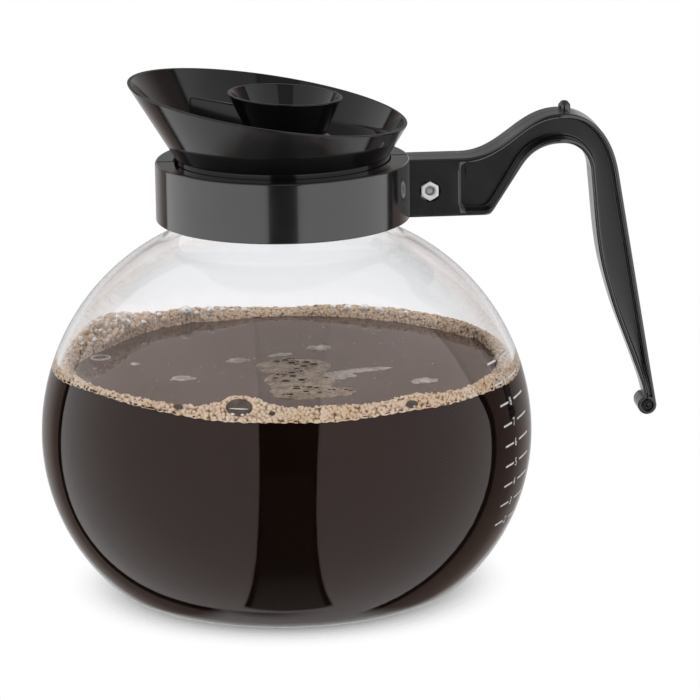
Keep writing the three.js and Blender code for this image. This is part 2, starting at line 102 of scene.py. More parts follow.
# Fasteners and peg
BOLT_RADIUS = 1.5
BOLT_REACH = 6
BOLT_BELOW_MIDDLE = 0.95
BOLT_HEAD_RADIUS = 2.9
BOLT_HEAD_HEIGHT = 2.2
BOLT_POINT = 1.0
BOLT_END_INSIDE = 0.3
THREAD_PITCH = 0.5
THREAD_DEPTH = 0.25
SLOT_DEPTH = 0.9
SLOT_HALF = 0.4
NUT_FLATS = 5.5
NUT_HEIGHT = 2.4
NUT_SINK = 0.8
NUT_PLAY = 0.05
NUT_CONE = 30
NUT_PLATEAU = 0.95
RECESS_DEPTH = 2.7
RIVET_RADIUS = 0.9
RIVET_BORE = 0.5
RIVET_HEAD_RADIUS = 1.7
RIVET_HEAD = 0.6
EYE_RECESS = 1.2
PEG_BEHIND_HUMP = 1.5
PEG_RADIUS = 2.0
PEG_HEIGHT = 3.2
PEG_PIN_RADIUS = 1.1
PEG_PIN_DEPTH = 1.4

# Lid and drip funnel
LID_TURN = 10
LID_WALL = 1.2
PLUG_GAP = 0.6
PLUG_DEPTH = 13
SHOULDER_WIDTH = 1.5
SHOULDER_HEIGHT = 3.3
CONE_SLOPE = 0.61
RIM_HEIGHT = 19.6
RIM_SLOPE = 0.164
RIM_EDGE = 0.3
FLOOR_HEIGHT = 7.2
FLOOR_THICKNESS = 2
POUR_WINDOWS = 3
POUR_WINDOW_PITCH = 17
POUR_WINDOW_HEIGHT = 11
POUR_WINDOW_BAR = 1.8
SPOUT_RADIUS = 10.3
SPOUT_WALL = 1.5
SPOUT_LENGTH = 10
SNAP_PROUD = 0.9
FOOT_RADIUS = 14.5
FOOT_HEIGHT = 1.5
WAIST_RADIUS = 12.5
CUP_RIM_RADIUS = 18.6
CUP_HEIGHT = 15.1
CUP_SLOPE = 0.06
FIN_REACH = 29.6
FIN_BELOW_RIM = 2.7
FIN_FOOT_HALF = 3.6
FIN_TOP_HALF = 0.6
# Share of its full width that the fin has at its end, and twice that at the axis
FIN_TAPER = 0.75
FIN_EDGE = 0.5
FUNNEL_SHIFT = 1.7

# Heights and radii that follow
upper_x = GLOBE_RADIUS - UPPER_RADIUS
lower_x = GLOBE_RADIUS - LOWER_RADIUS
heel_x = lower_x + math.sqrt((LOWER_RADIUS - HEEL_RADIUS) ** 2 - (EQUATOR - HEEL_RADIUS) ** 2)
neck_x = NECK_RADIUS + NECK_FILLET
neck_z = EQUATOR + math.sqrt((UPPER_RADIUS + NECK_FILLET) ** 2 - (neck_x - upper_x) ** 2)
mouth_radius = NECK_RADIUS - GLASS_WALL
collar_bottom = neck_z - CLEARANCE
collar_top = collar_bottom + COLLAR_HEIGHT
glass_top = collar_top - TOP_LIP - CLEARANCE
bore_radius = NECK_RADIUS + BEAD_PROUD + CLEARANCE
collar_radius = bore_radius + COLLAR_WALL
handle_top = collar_top - HANDLE_TOP_DROP
root_height = COLLAR_HEIGHT - HANDLE_TOP_DROP + HANDLE_FOOT_DROP
bracket_x = collar_radius + BRACKET_REACH
arch_x = bracket_x + ARCH_RUN
hump_x = arch_x + HUMP_RUN
hump_z = handle_top + HUMP_RISE
grip_x = hump_x + GRIP_RUN
grip_z = handle_top - GRIP_TOP_DROP
eye_x = grip_x + GRIP_LEAN - EYE_RADIUS
eye_z = grip_z - GRIP_LENGTH
pocket_x = collar_radius + POCKET_START
bolt_x = collar_radius + BOLT_REACH
bolt_z = handle_top - root_height / 2 - BOLT_BELOW_MIDDLE
nut_seat = HALF_WIDTH - RECESS_DEPTH + CLEARANCE
nut_corner = NUT_FLATS / math.sqrt(3)
plug_radius = mouth_radius - PLUG_GAP
shoulder_radius = plug_radius + SHOULDER_WIDTH
lip_radius = shoulder_radius + CLEARANCE
lid_seat = glass_top + CLEARANCE
cone_start = lid_seat + SHOULDER_HEIGHT
lid_floor = lid_seat + FLOOR_HEIGHT
lid_rim = lid_seat + RIM_HEIGHT
cone_thickness = LID_WALL * math.hypot(1, CONE_SLOPE)

# Camera of the photograph: place in millimetres, aim, and roll in degrees about its own axis
CAMERA_PLACE = (-88.7, -1255.1, 394.2)
CAMERA_AIM = (0.0845, 0.9661, -0.2441)
CAMERA_ROLL = -0.75
CAMERA_LENS = 204.85
CAMERA_AZIMUTH = -95.0


def make_camera():
    data = bpy.data.cameras.new("camera")
    data.sensor_width = 36
    data.lens = CAMERA_LENS
    data.clip_start = 0.1
    data.clip_end = 20
    camera = bpy.data.objects.new("camera", data)
    scene.collection.objects.link(camera)
    camera.location = Vector(CAMERA_PLACE) * MM
    aim = Vector(CAMERA_AIM).to_track_quat("-Z", "Y").to_matrix()
    roll = Matrix.Rotation(math.radians(CAMERA_ROLL), 3, "Z")
    camera.rotation_euler = (aim @ roll).to_euler()
    scene.camera = camera


# Outlines


def arc(centre, radius, start, end, step=3.0):
    """Points along an arc, angles in degrees."""
    count = max(2, math.ceil(abs(end - start) / step))
    angles = [math.radians(start + (end - start) * i / count) for i in range(count + 1)]
    return [(centre[0] + radius * math.cos(a), centre[1] + radius * math.sin(a)) for a in angles]


def bezier(p0, p1, p2, p3, count):
    """Points along a curve after its first point."""
    points = []
    for i in range(1, count + 1):
        t = i / count
        weights = ((1 - t) ** 3, 3 * t * (1 - t) ** 2, 3 * t * t * (1 - t), t ** 3)
        points.append(tuple(sum(w * p[k] for w, p in zip(weights, (p0, p1, p2, p3))) for k in (0, 1)))
    return points


def straight(p0, p1, count):
    """Points along a line after its first point."""
    shares = [i / count for i in range(1, count + 1)]
    return [(p0[0] + (p1[0] - p0[0]) * s, p0[1] + (p1[1] - p0[1]) * s) for s in shares]


def rounded(corners, steps=5):
    """Closed outline through corners (x, z, radius), each rounded by an arc of its radius."""
    points = []
    for i, (x, z, radius) in enumerate(corners):
        here = Vector((x, z))
        before = Vector(corners[i - 1][:2]) - here
        after = Vector(corners[(i + 1) % len(corners)][:2]) - here
        half_turn = before.angle(after) / 2
        cut = radius / math.tan(half_turn) if radius else 0.0
        cut = min(cut, 0.49 * before.length, 0.49 * after.length)
        if cut < 1e-6:
            points += [(x, z)] * (steps + 1 if radius else 1)
            continue
        before.normalize()
        after.normalize()
        fitted = cut * math.tan(half_turn)
        centre = here + (before + after).normalized() * (fitted / math.sin(half_turn))
        start = here + before * cut - centre
        end = here + after * cut - centre
        for k in range(steps + 1):
            spoke = start.slerp(end, k / steps) * fitted
            points.append((centre.x + spoke.x, centre.y + spoke.y))
    return points


# Shapes, which are pairs of vertices and faces

BOX_FACES = [(0, 1, 3, 2), (4, 6, 7, 5), (0, 4, 5, 1), (2, 3, 7, 6), (0, 2, 6, 4), (1, 5, 7, 3)]


def polar(radius, angle, height):
    return radius * math.cos(angle), radius * math.sin(angle), height


def turned(section_at, segments):
    """Closed section turned about Z. section_at(angle) gives (radius, height) pairs."""
    vertices = []
    for i in range(segments):
        angle = 2 * math.pi * i / segments
        section = section_at(angle)
        vertices += [polar(r, angle, z) for r, z in section]
    size = len(section)
    faces = []
    for i in range(segments):
        a = i * size
        b = ((i + 1) % segments) * size
        for k in range(size):
            n = (k + 1) % size
            faces.append((a + k, b + k, b + n, a + n))
    return vertices, faces


def lathe(section, segments):
    """One closed section turned about Z."""
    return turned(lambda angle: section, segments)


def skinned(rings):
    """Shape over a row of closed sections, with both ends filled."""
    size = len(rings[0])
    last = (len(rings) - 1) * size
    faces = []
    for a in range(0, last, size):
        b = a + size
        for k in range(size):
            n = (k + 1) % size
            faces.append((a + k, a + n, b + n, b + k))
    faces += [tuple(range(size)), tuple(range(last, last + size))]
    return [point for ring in rings for point in ring], faces


def box(xs, ys, zs):
    return [(x, y, z) for x in xs for y in ys for z in zs], BOX_FACES


def disc(radius, low, high):
    return lathe([(0, low), (radius, low), (radius, high), (0, high)], 48)


def ball(detail):
    work = bmesh.new()
    bmesh.ops.create_icosphere(work, subdivisions=detail, radius=1.0)
    vertices = [tuple(v.co) for v in work.verts]
    faces = [tuple(v.index for v in f.verts) for f in work.faces]
    work.free()
    return vertices, faces


def along_y(shape, x, z):
    """A shape made about Z, turned so that its axis lies along Y through x and z."""
    vertices, faces = shape
    return [(x + a, c, z + b) for a, b, c in vertices], faces


def placed(shape, x=0.0, y=0.0, z=0.0, turn=0.0):
    """A shape turned about Z by degrees, then moved."""
    c, s = math.cos(math.radians(turn)), math.sin(math.radians(turn))
    vertices, faces = shape
    return [(x + a * c - b * s, y + a * s + b * c, z + h) for a, b, h in vertices], faces


def mirrored(shape):
    vertices, faces = shape
    return [(x, -y, z) for x, y, z in vertices], [tuple(reversed(f)) for f in faces]


def gathered(shapes):
    """Several shapes as one."""
    vertices, faces = [], []
    for points, sides in shapes:
        first = len(vertices)
        vertices += points
        faces += [tuple(first + k for k in side) for side in sides]
    return vertices, faces


# Objects

SHARP = 38.0
SOFT = 80.0


def make_object(name, shape, material=None, sharp=SHARP):
    vertices, faces = shape
    mesh = bpy.data.meshes.new(name)
    mesh.from_pydata([Vector(v) * MM for v in vertices], [], faces)
    tidy(mesh, sharp)
    if material is not None:
        mesh.materials.append(material)
    made = bpy.data.objects.new(name, mesh)
    scene.collection.objects.link(made)
    return made


def tidy(mesh, sharp):
    """Welds doubled points, turns the faces outwards and shades smooth up to an angle."""
    work = bmesh.new()
    work.from_mesh(mesh)
    bmesh.ops.remove_doubles(work, verts=work.verts, dist=1e-6)
    bmesh.ops.dissolve_degenerate(work, edges=work.edges, dist=1e-7)
    bmesh.ops.recalc_face_normals(work, faces=work.faces)
    work.to_mesh(mesh)
    work.free()
    mesh.shade_smooth()
    mesh.set_sharp_from_angle(angle=math.radians(sharp))


def settle(target):
    """Works an object's modifiers into its mesh."""
    graph = bpy.context.evaluated_depsgraph_get()
    made = bpy.data.meshes.new_from_object(target.evaluated_get(graph))
    target.modifiers.clear()
    old = target.data
    target.data = made
    bpy.data.meshes.remove(old)
    made.name = target.name


def combine(target, shape, operation, bevel=0.0):
    """Joins target with a shape, or cuts the shape out of it."""
    other = make_object("other", shape)
    if bevel:
        modifier = other.modifiers.new("edge", "BEVEL")
        modifier.width = bevel * MM
        modifier.segments = 3
    modifier = target.modifiers.new("join", "BOOLEAN")
    modifier.operation = operation
    modifier.solver = "EXACT"
    modifier.object = other
    settle(target)
    bpy.data.objects.remove(other)
    tidy(target.data, SHARP)


def even(target, material):
    """One material, with large faces flat in shading while the small ones beside them take the turn."""
    target.data.materials.clear()
    target.data.materials.append(material)
    target.modifiers.new("even", "WEIGHTED_NORMAL").keep_sharp = True
    settle(target)


def fit(piece, body, node=None):
    """Puts a piece on its body and lets it stand for a CAD node."""
    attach(piece, body)
    if node:
        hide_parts(node)


def add_piece(name, shape, material, node=None, sharp=SHARP):
    """A finished piece of the jug."""
    fit(make_object(name, shape, material, sharp), "jug", node)


# Materials


class Nodes:
    """Node tree of a material or a world, with short ways to add to it."""

    def __init__(self, owner):
        owner.use_nodes = True
        self.owner = owner
        self.tree = owner.node_tree
        self.tree.nodes.clear()

    def put(self, value, socket):
        """Sets a socket to a plain value, or links it to a socket of another node."""
        if isinstance(value, bpy.types.NodeSocket):
            self.tree.links.new(value, socket)
        else:
            socket.default_value = value

    def add(self, kind, *ordered, **named):
        """A node, with some of its inputs given in order or by name."""
        node = self.tree.nodes.new(kind)
        for value, socket in zip(ordered, node.inputs):
            self.put(value, socket)
        for name, value in named.items():
            self.put(value, node.inputs[name.replace("_", " ")])
        return node

    def math(self, operation, first, second):
        node = self.add("ShaderNodeMath", first, second)
        node.operation = operation
        return node.outputs["Value"]

    def mix(self, share, first, second, blend="MIX"):
        """Colour between two, or another blend of them."""
        node = self.add("ShaderNodeMix")
        node.data_type = "RGBA"
        node.blend_type = blend
        for name, value in (("Factor", share), ("A", first), ("B", second)):
            self.put(value, node.inputs[name])
        return node.outputs["Result"]

    def multiply(self, first, second):
        return self.mix(1.0, first, second, "MULTIPLY")

    def texture(self, kind, output, **inputs):
        place = self.add("ShaderNodeTexCoord").outputs["Object"]
        return self.add(kind, Vector=place, **inputs).outputs[output]

    def noise(self, scale, detail):
        return self.texture("ShaderNodeTexNoise", "Fac", Scale=scale, Detail=detail)

    def cells(self, scale):
        return self.texture("ShaderNodeTexVoronoi", "Distance", Scale=scale)

    def ramp(self, source, *stops):
        """Colour along a value, from (value, colour) stops."""
        node = self.add("ShaderNodeValToRGB", Fac=source)
        elements = node.color_ramp.elements
        while len(elements) < len(stops):
            elements.new(1.0)
        for element, (position, colour) in zip(elements, stops):
            element.position = position
            element.color = (*colour, 1)
        return node.outputs["Color"]

    def light(self, source, stops):
        """Light along a value between -1 and 1, from (value, light) stops."""
        colours = [light if isinstance(light, tuple) else (light, light, light) for _, light in stops]
        shares = [(value + 1) / 2 for value, _ in stops]
        return self.ramp(self.remap(source, (-1.0, 1.0)), *zip(shares, colours))

    def remap(self, source, before, after=(0.0, 1.0), how="LINEAR"):
        """A value moved from one range to another."""
        node = self.add("ShaderNodeMapRange", source, *before, *after)
        node.interpolation_type = how
        return node.outputs["Result"]

    def rise(self, source, before):
        """Smooth step from 0 to 1 over a range."""
        return self.remap(source, before, how="SMOOTHSTEP")

    def bump(self, source, strength, depth):
        node = self.add("ShaderNodeBump", Height=source, Strength=strength, Distance=depth * MM)
        return node.outputs["Normal"]

    def principled(self, colour, **inputs):
        return self.add("ShaderNodeBsdfPrincipled", Base_Color=(*colour, 1), **inputs)

    def mix_shaders(self, share, first, second):
        return self.add("ShaderNodeMixShader", share, first.outputs[0], second.outputs[0])

    def show(self, shader):
        """Ends the tree with a shader, and gives back its material or world."""
        kind = "World" if isinstance(self.owner, bpy.types.World) else "Material"
        self.add(f"ShaderNodeOutput{kind}", Surface=shader.outputs[0])
        return self.owner


def new_material(name):
    return Nodes(bpy.data.materials.new(name))


def surface(name, colour, drift=None, gloss=None, grain=None, **inputs):
    """Material that may be uneven in colour, in gloss and in a fine grain.

    Each comes from noise of a scale and a detail: drift adds colours at their places along it, gloss the
    range of the roughness, and grain its strength and depth.
    """
    nodes = new_material(name)
    shader = nodes.principled(colour, **inputs)
    if drift:
        nodes.put(nodes.ramp(nodes.noise(*drift[:2]), *drift[2:]), shader.inputs["Base Color"])
    if gloss:
        uneven = nodes.remap(nodes.noise(*gloss[:2]), (0.0, 1.0), gloss[2:])
        nodes.put(uneven, shader.inputs["Roughness"])
    if grain:
        nodes.put(nodes.bump(nodes.noise(*grain[:2]), *grain[2:]), shader.inputs["Normal"])
    return nodes.show(shader)


def black_plastic(name, dark, pale, gloss, grain, shine, coat):
    """Black moulding: a little mottled in colour and gloss, with a fine moulded grain."""
    return surface(
        name, dark,
        drift=(60, 3, (0.3, dark), (0.7, pale)), gloss=(140, 5, *gloss), grain=(2600, 2, grain, 0.05),
        Specular_IOR_Level=shine, Coat_Weight=coat, Coat_Roughness=0.05,
    )


def handle_black():
    dark, pale = (0.006, 0.006, 0.007), (0.011, 0.011, 0.012)
    return black_plastic("handle_black", dark, pale, gloss=(0.12, 0.22), grain=0.04, shine=0.9, coat=0.7)


def lid_black():
    dark, pale = (0.005, 0.005, 0.006), (0.009, 0.009, 0.01)
    return black_plastic("lid_black", dark, pale, gloss=(0.08, 0.16), grain=0.03, shine=0.38, coat=0.2)


def zinc(name, colour, mirror):
    """Zinc plate, a little uneven in gloss."""
    return surface(name, colour, gloss=(900, 3, 0.42, 0.6), grain=(3200, 3, 0.15, 0.03), Metallic=mirror)


def black_steel():
    return surface("blackened_steel", (0.03, 0.03, 0.032), gloss=(900, 3, 0.25, 0.45), Metallic=0.7)


def rubber():
    gloss, grain = (700, 3, 0.55, 0.8), (1800, 3, 0.2, 0.05)
    return surface("cushion_rubber", (0.02, 0.02, 0.02), gloss=gloss, grain=grain)


def print_white():
    """White ink, a little worn."""
    drift = (1500, 3, (0.35, (0.5, 0.5, 0.5)), (0.6, (0.82, 0.82, 0.82)))
    return surface("print_white", (0.75, 0.75, 0.75), drift, Roughness=0.45)


def dull_coffee(name):
    """Coffee that doesn't shine: against the glass, where only the glass does, and deep in the froth."""
    dark, warm = (0.006, 0.0028, 0.0016), (0.009, 0.0044, 0.0026)
    return surface(name, dark, (18, 3, (0.3, dark), (0.7, warm)), Roughness=1.0, Specular_IOR_Level=0.0)


def coffee_top():
    """Open face of the coffee, smooth and shining, with a thin oily bloom."""
    dark, warm = (0.022, 0.012, 0.008), (0.04, 0.024, 0.016)
    return surface("coffee_top", dark, (45, 6, (0.4, dark), (0.75, warm)), (45, 6, 0.0, 0.1), IOR=1.33)


def bubble_wall(name, dark, pale, roughness, scale, mirror=0.0):
    drift = (scale, 3, (0.3, dark), (0.68, pale))
    return surface(name, pale, drift, Roughness=roughness, Metallic=mirror)


def clear_glass():
    """Clear glass that lets lamps through to what is inside."""
    nodes = new_material("clear_glass")
    glass = nodes.principled(
        (0.978, 0.973, 0.982),
        Roughness=0.0, IOR=1.47, Transmission_Weight=1.0, Specular_Tint=(1.0, 0.77, 0.74, 1),
    )
    shadow = nodes.add("ShaderNodeLightPath").outputs["Is Shadow Ray"]
    return nodes.show(nodes.mix_shaders(shadow, glass, nodes.add("ShaderNodeBsdfTransparent")))


def froth_skin():
    """Froth: fine pale cells with dark specks at their corners, drifting between cream and brown. The
    specks are partly small holes and partly painted shade in the creases between the bubbles.
    """
    nodes = new_material("froth_skin")
    cells = nodes.cells(1050)
    # Cell tones: pale centres are partly painted light on the domed bubble tops; dark corners are partly
    # holes and partly painted shade in the creases
    cell_tones_and_crease_shade = nodes.ramp(
        cells,
        (0.0, (0.93, 0.82, 0.69)),
        (0.5, (0.82, 0.66, 0.51)),
        (0.72, (0.5, 0.34, 0.22)),
        (0.86, (0.08, 0.045, 0.028)),
    )
    drift = nodes.ramp(nodes.noise(130, 4), (0.35, WHITE), (0.7, (0.88, 0.76, 0.62)))
    shader = nodes.principled(
        (0.6, 0.44, 0.3),
        Roughness=0.45, Subsurface_Weight=0.1, Subsurface_Radius=(0.001, 0.0007, 0.0005),
        Normal=nodes.bump(nodes.remap(cells, (0.0, 1.0), (1.0, 0.0)), 0.7, 0.4),
    )
    nodes.put(nodes.multiply(cell_tones_and_crease_shade, drift), shader.inputs["Base Color"])
    return nodes.show(shader)


def froth_film(name, dark, mid, pale):
    """Thin film of froth, with the coffee showing through its cells."""
    nodes = new_material(name)
    cells = nodes.cells(760)
    shader = nodes.principled(mid, Roughness=0.35, Normal=nodes.bump(cells, 0.5, 0.25))
    share = nodes.math("ADD", nodes.math("MULTIPLY", cells, 0.5), nodes.noise(260, 5))
    nodes.put(nodes.ramp(share, (0.45, dark), (0.68, mid), (0.98, pale)), shader.inputs["Base Color"])
    return nodes.show(shader)


# Studio

WHITE = (1.0, 1.0, 1.0)
PANEL = 1.0
EDGE_LINE = 0.02
BESIDE = (0.22, 0.165, 0.145)
BEHIND = 0.5
HIGH_BEHIND = 0.2
NEAR_BACK = (0.44, 0.4, 0.38)
# Light of the walls against how far a direction points to the camera, which is 1 straight at it
LEFT_WALL = (
    (-1, BEHIND), (-0.85, NEAR_BACK), (-0.72, BESIDE), (-0.67, BESIDE),
    (-0.665, EDGE_LINE), (-0.62, EDGE_LINE), (-0.615, PANEL), (1, PANEL),
)
RIGHT_WALL = (
    (-1, BEHIND), (-0.8, NEAR_BACK), (-0.55, BESIDE), (-0.3, BESIDE),
    (-0.295, EDGE_LINE), (-0.235, EDGE_LINE), (-0.23, PANEL), (1, PANEL),
)
# How far the walls' edges move towards the camera low on the left, and away from it on the right
LEFT_FOOT = 0.5
LEFT_FOOT_RANGE = (-0.4, -1.0)
RIGHT_FOOT = 0.11
RIGHT_FOOT_RANGE = (0.3, -0.1)
# Light against how far a direction points up
BACK_LIGHT = (
    (-1, 0.9), (-0.6, 0.9), (-0.2, BEHIND), (0.05, BEHIND), (0.15, HIGH_BEHIND), (1, HIGH_BEHIND),
)
WALL_FALL = ((-1, 1.0), (0.5, 1.0), (0.74, 0.6), (1, 0.35))
GAP_LIGHT = (
    (-1, 0.2), (-0.96, 0.16), (-0.9, 0.06), (-0.12, 0.05),
    (-0.04, 0.01), (0.45, 0.01), (0.65, 0.25), (1, 0.25),
)
SEEN_WARM = (0.52, 0.44, 0.4)
SEEN_LIGHT = (
    (-1, WHITE), (-0.03, WHITE), (0.14, SEEN_WARM), (0.45, SEEN_WARM), (0.65, WHITE), (1, WHITE),
)
# Where the walls meet: left to right, off the back by the square of right, and towards the camera
LEFT_TO_RIGHT = (-0.2, 0.2)
BACK_TO_SIDE = (0.04, 0.1)
BACK_TO_FRONT = (-0.3, -0.1)
# Dark gap between the walls at the camera
GAP_LEFT = -0.205
GAP_RIGHT = 0.25
GAP_LEAN = 0.06
GAP_SOFT = 0.008
GAP_BORDER = 0.03
GAP_START = (-0.12, -0.06)

LAMP_PLACE = (0, -150, 1500)
LAMP_AIM = (0, 0, 80)
LAMP_WIDTH = 1600
LAMP_WATTS = 12

FLOOR_REACH = 300
FLOOR_LEVEL = -0.1
# Distances in metres over which the floor fades out
FLOOR_FADE = (0.042, 0.074)


def make_world():
    """White to the camera. To shining faces a studio: lit walls on both sides, dark at the camera."""
    nodes = Nodes(bpy.data.worlds.new("studio"))
    place = nodes.add("ShaderNodeTexCoord").outputs["Generated"]
    turn = nodes.add("ShaderNodeVectorRotate", Vector=place, Angle=math.radians(-CAMERA_AZIMUTH))
    turn.rotation_type = "Z_AXIS"
    front, right, up = nodes.add("ShaderNodeSeparateXYZ", turn.outputs["Vector"]).outputs

    below = nodes.remap(up, LEFT_FOOT_RANGE)
    left_shift = nodes.math("MULTIPLY", nodes.math("MULTIPLY", below, below), LEFT_FOOT)
    left_light = nodes.light(nodes.math("SUBTRACT", front, left_shift), LEFT_WALL)
    right_shift = nodes.math("MULTIPLY", nodes.rise(up, RIGHT_FOOT_RANGE), RIGHT_FOOT)
    right_light = nodes.light(nodes.math("ADD", front, right_shift), RIGHT_WALL)
    sides = nodes.mix(nodes.rise(right, LEFT_TO_RIGHT), left_light, right_light)
    aside = nodes.rise(nodes.math("MULTIPLY", right, right), BACK_TO_SIDE)
    off_back = nodes.math("MAXIMUM", aside, nodes.rise(front, BACK_TO_FRONT))
    walls = nodes.mix(off_back, nodes.light(up, BACK_LIGHT), sides)
    fallen = nodes.multiply(walls, nodes.light(up, WALL_FALL))

    lean = nodes.math("SUBTRACT", right, nodes.math("MULTIPLY", up, GAP_LEAN))
    ahead = nodes.rise(front, GAP_START)

    def between(left_edge, right_edge):
        past_left = nodes.rise(right, (left_edge - GAP_SOFT, left_edge + GAP_SOFT))
        before_right = nodes.rise(lean, (right_edge + GAP_SOFT, right_edge - GAP_SOFT))
        return nodes.math("MULTIPLY", nodes.math("MULTIPLY", past_left, before_right), ahead)

    lined = nodes.mix(between(GAP_LEFT, GAP_RIGHT), fallen, (EDGE_LINE, EDGE_LINE, EDGE_LINE, 1))
    inner = between(GAP_LEFT + GAP_BORDER, GAP_RIGHT - GAP_BORDER)
    studio = nodes.add("ShaderNodeBackground", Color=nodes.mix(inner, lined, nodes.light(up, GAP_LIGHT)))
    seen = nodes.add("ShaderNodeBackground", Color=nodes.light(up, SEEN_LIGHT))
    white = nodes.add("ShaderNodeBackground", Color=(*WHITE, 1))
    path = nodes.add("ShaderNodeLightPath").outputs
    through = nodes.mix_shaders(path["Is Transmission Ray"], studio, seen)
    scene.world = nodes.show(nodes.mix_shaders(path["Is Camera Ray"], through, white))


def make_floor():
    """Pale floor that keeps the shadow and fades into the white round it."""
    nodes = new_material("floor")
    paper = nodes.add("ShaderNodeBsdfDiffuse", Color=(0.96, 0.96, 0.96, 1))
    length = nodes.add("ShaderNodeVectorMath", nodes.add("ShaderNodeTexCoord").outputs["Object"])
    length.operation = "LENGTH"
    fade = nodes.rise(length.outputs["Value"], FLOOR_FADE)
    faded = nodes.mix_shaders(fade, paper, nodes.add("ShaderNodeBsdfTransparent"))
    signs = ((-1, -1), (1, -1), (1, 1), (-1, 1))
    corners = [(x * FLOOR_REACH, y * FLOOR_REACH, FLOOR_LEVEL) for x, y in signs]
    floor = make_object("floor", (corners, [(0, 1, 2, 3)]), nodes.show(faded))
    floor.visible_glossy = False


def make_lamp():
    data = bpy.data.lights.new("top_light", "AREA")
    data.shape = "SQUARE"
    data.size = LAMP_WIDTH * MM
    data.energy = LAMP_WATTS
    lamp = bpy.data.objects.new("top_light", data)
    scene.collection.objects.link(lamp)
    lamp.location = Vector(LAMP_PLACE) * MM
    lamp.rotation_euler = (Vector(LAMP_AIM) - Vector(LAMP_PLACE)).to_track_quat("-Z", "Y").to_euler()
    lamp.visible_camera = False
    lamp.visible_glossy = False
    lamp.visible_transmission = False


# Glass globe


def wall_face(inset):
    """Face of the glass from the axis up to the neck, drawn in by an inset."""
    lower_join = math.degrees(math.atan2(HEEL_RADIUS - EQUATOR, heel_x - lower_x))
    upper_join = math.degrees(math.atan2(neck_z - EQUATOR, neck_x - upper_x))
    points = straight((0, inset), (heel_x, inset), 6)[:-1]
    points += arc((heel_x, HEEL_RADIUS), HEEL_RADIUS - inset, -90, lower_join)
    points += arc((lower_x, EQUATOR), LOWER_RADIUS - inset, lower_join, 0, 1.5)[1:]
    points += arc((upper_x, EQUATOR), UPPER_RADIUS - inset, 0, upper_join, 1.5)[1:]
    points += arc((neck_x, neck_z), NECK_FILLET + inset, upper_join + 180, 180)[1:]
    return [(0, inset)] + points


def make_glass(material):
    bead = NECK_RADIUS + BEAD_PROUD
    rim = rounded([
        (NECK_RADIUS, glass_top - BEAD_HEIGHT - 2 * BEAD_PROUD, 0),
        (NECK_RADIUS, glass_top - BEAD_HEIGHT - BEAD_PROUD, 2),
        (bead, glass_top - BEAD_HEIGHT, 2),
        (bead, glass_top, 1.6),
        (mouth_radius, glass_top, 0.6),
        (mouth_radius, glass_top - BEAD_HEIGHT, 0),
    ])
    section = wall_face(0) + rim + wall_face(GLASS_WALL)[::-1]
    add_piece("glass_globe.clear", lathe(section, 144), material, "glass_globe", 60)


def globe_radius(height, inset=0.0):
    """Radius of a face of the globe at a height, drawn in by an inset."""
    middle, radius = (upper_x, UPPER_RADIUS) if height >= EQUATOR else (lower_x, LOWER_RADIUS)
    return middle + math.sqrt((radius - inset) ** 2 - (height - EQUATOR) ** 2)


def inner_radius(height):
    return globe_radius(height, GLASS_WALL)


# Coffee and froth

COFFEE_LEVEL = 73.2
SOAK = 0.4
FILM_REACH = 3
FROTH_WALL = 0.6
FROTH_HEIGHT = 3.6
FROTH_REACH = 5.6
FROTH_FOOT = 0.2
# Swells of the froth: bearing and half width in degrees, then extra height, reach and lift of the foot
SWELLS = (
    (-105, 7, 4.2, 2.0, 0.0), (-62, 6, 1.4, 1.0, 0.2), (-145, 25, 0.4, -0.5, 2.3),
    (-85, 10, 1.0, 0.8, -0.3), (-40, 12, -0.8, 0.0, -0.2), (-19, 14, -0.4, 0.0, -1.2),
    (20, 10, 0.0, -2.0, 0.0), (30, 20, 0.6, 0.0, 0.0), (60, 20, 0.0, 0.8, 0.0),
    (88, 12, -1.3, 0.0, 0.0), (104, 9, 0.0, 2.2, 0.0), (118, 14, 1.2, 0.0, 0.0),
    (150, 18, 6.2, 4.0, 0.0),
)
# Bubbles of the froth's own relief: spacing and depth
RELIEF = ((1.7, 0.5), (0.8, 0.25))
LARGE_BUBBLE = 0.8
FINE_BUBBLES = 900
# Larger near-white bubbles, partly pale froth and partly painted highlights: bearing in degrees, share of
# the way in from the wall, radius
PALE_HIGHLIGHT_BUBBLES = (
    (115, 0.5, 2.3), (112, 0.7, 1.0), (107.5, 0.5, 1.6), (104, 0.5, 1.1),
    (101, 0.55, 0.9), (97.5, 0.5, 1.2), (72, 0.45, 0.9), (68, 0.5, 1.6),
    (63, 0.45, 1.6), (58.5, 0.5, 1.5), (50, 0.5, 0.9), (124, 0.5, 1.1),
)
# Heap of froth on the left: bearing and spread in degrees, and how many bubbles of each kind
HEAP_BEARING = (147, 9)
# Cream heap bubbles are a paler copy of the tan froth bubbles: partly painted light that makes up for the
# shade on the heap
HEAP_CREAM = 160
# Near-white heap bubbles stand partly for painted highlights
HEAP_PALE_HIGHLIGHTS = 36
# Lenses on the glass: bearing, height over the coffee, half sizes and how far they stand out
DARK_LENSES = (
    (-105.5, 4.5, 4.2, 2.5, 0.16), (-62.5, 2.3, 2.2, 1.1, 0.12),
    (-121, 3.5, 1.7, 0.8, 0.1), (-97.5, 3.0, 1.0, 0.6, 0.1),
)
# Pale lenses are painted highlights: a painted reflection line across the large dark bubble and white
# glints below it
HIGHLIGHT_LENSES = (
    (-105.5, 4.2, 3.3, 0.22, 0.3), (-107, 2.6, 0.8, 0.4, 0.3), (-104.6, 2.5, 0.6, 0.35, 0.3),
    (-103.4, 2.7, 0.4, 0.3, 0.3), (-62, 1.6, 0.5, 0.3, 0.25),
)


def waves(seed, *periods):
    """Smooth wobble round the axis between about -1 and 1, from a few sines of whole periods."""
    draw = random.Random(seed)
    terms = [(n, draw.uniform(0, 2 * math.pi)) for n in periods]
    return lambda angle: sum(math.sin(n * angle + phase) for n, phase in terms) / len(terms)


def bell(degrees, middle, half):
    """Smooth bump of one round a bearing."""
    apart = (degrees - middle + 180) % 360 - 180
    return math.exp(-(apart / half) ** 2)


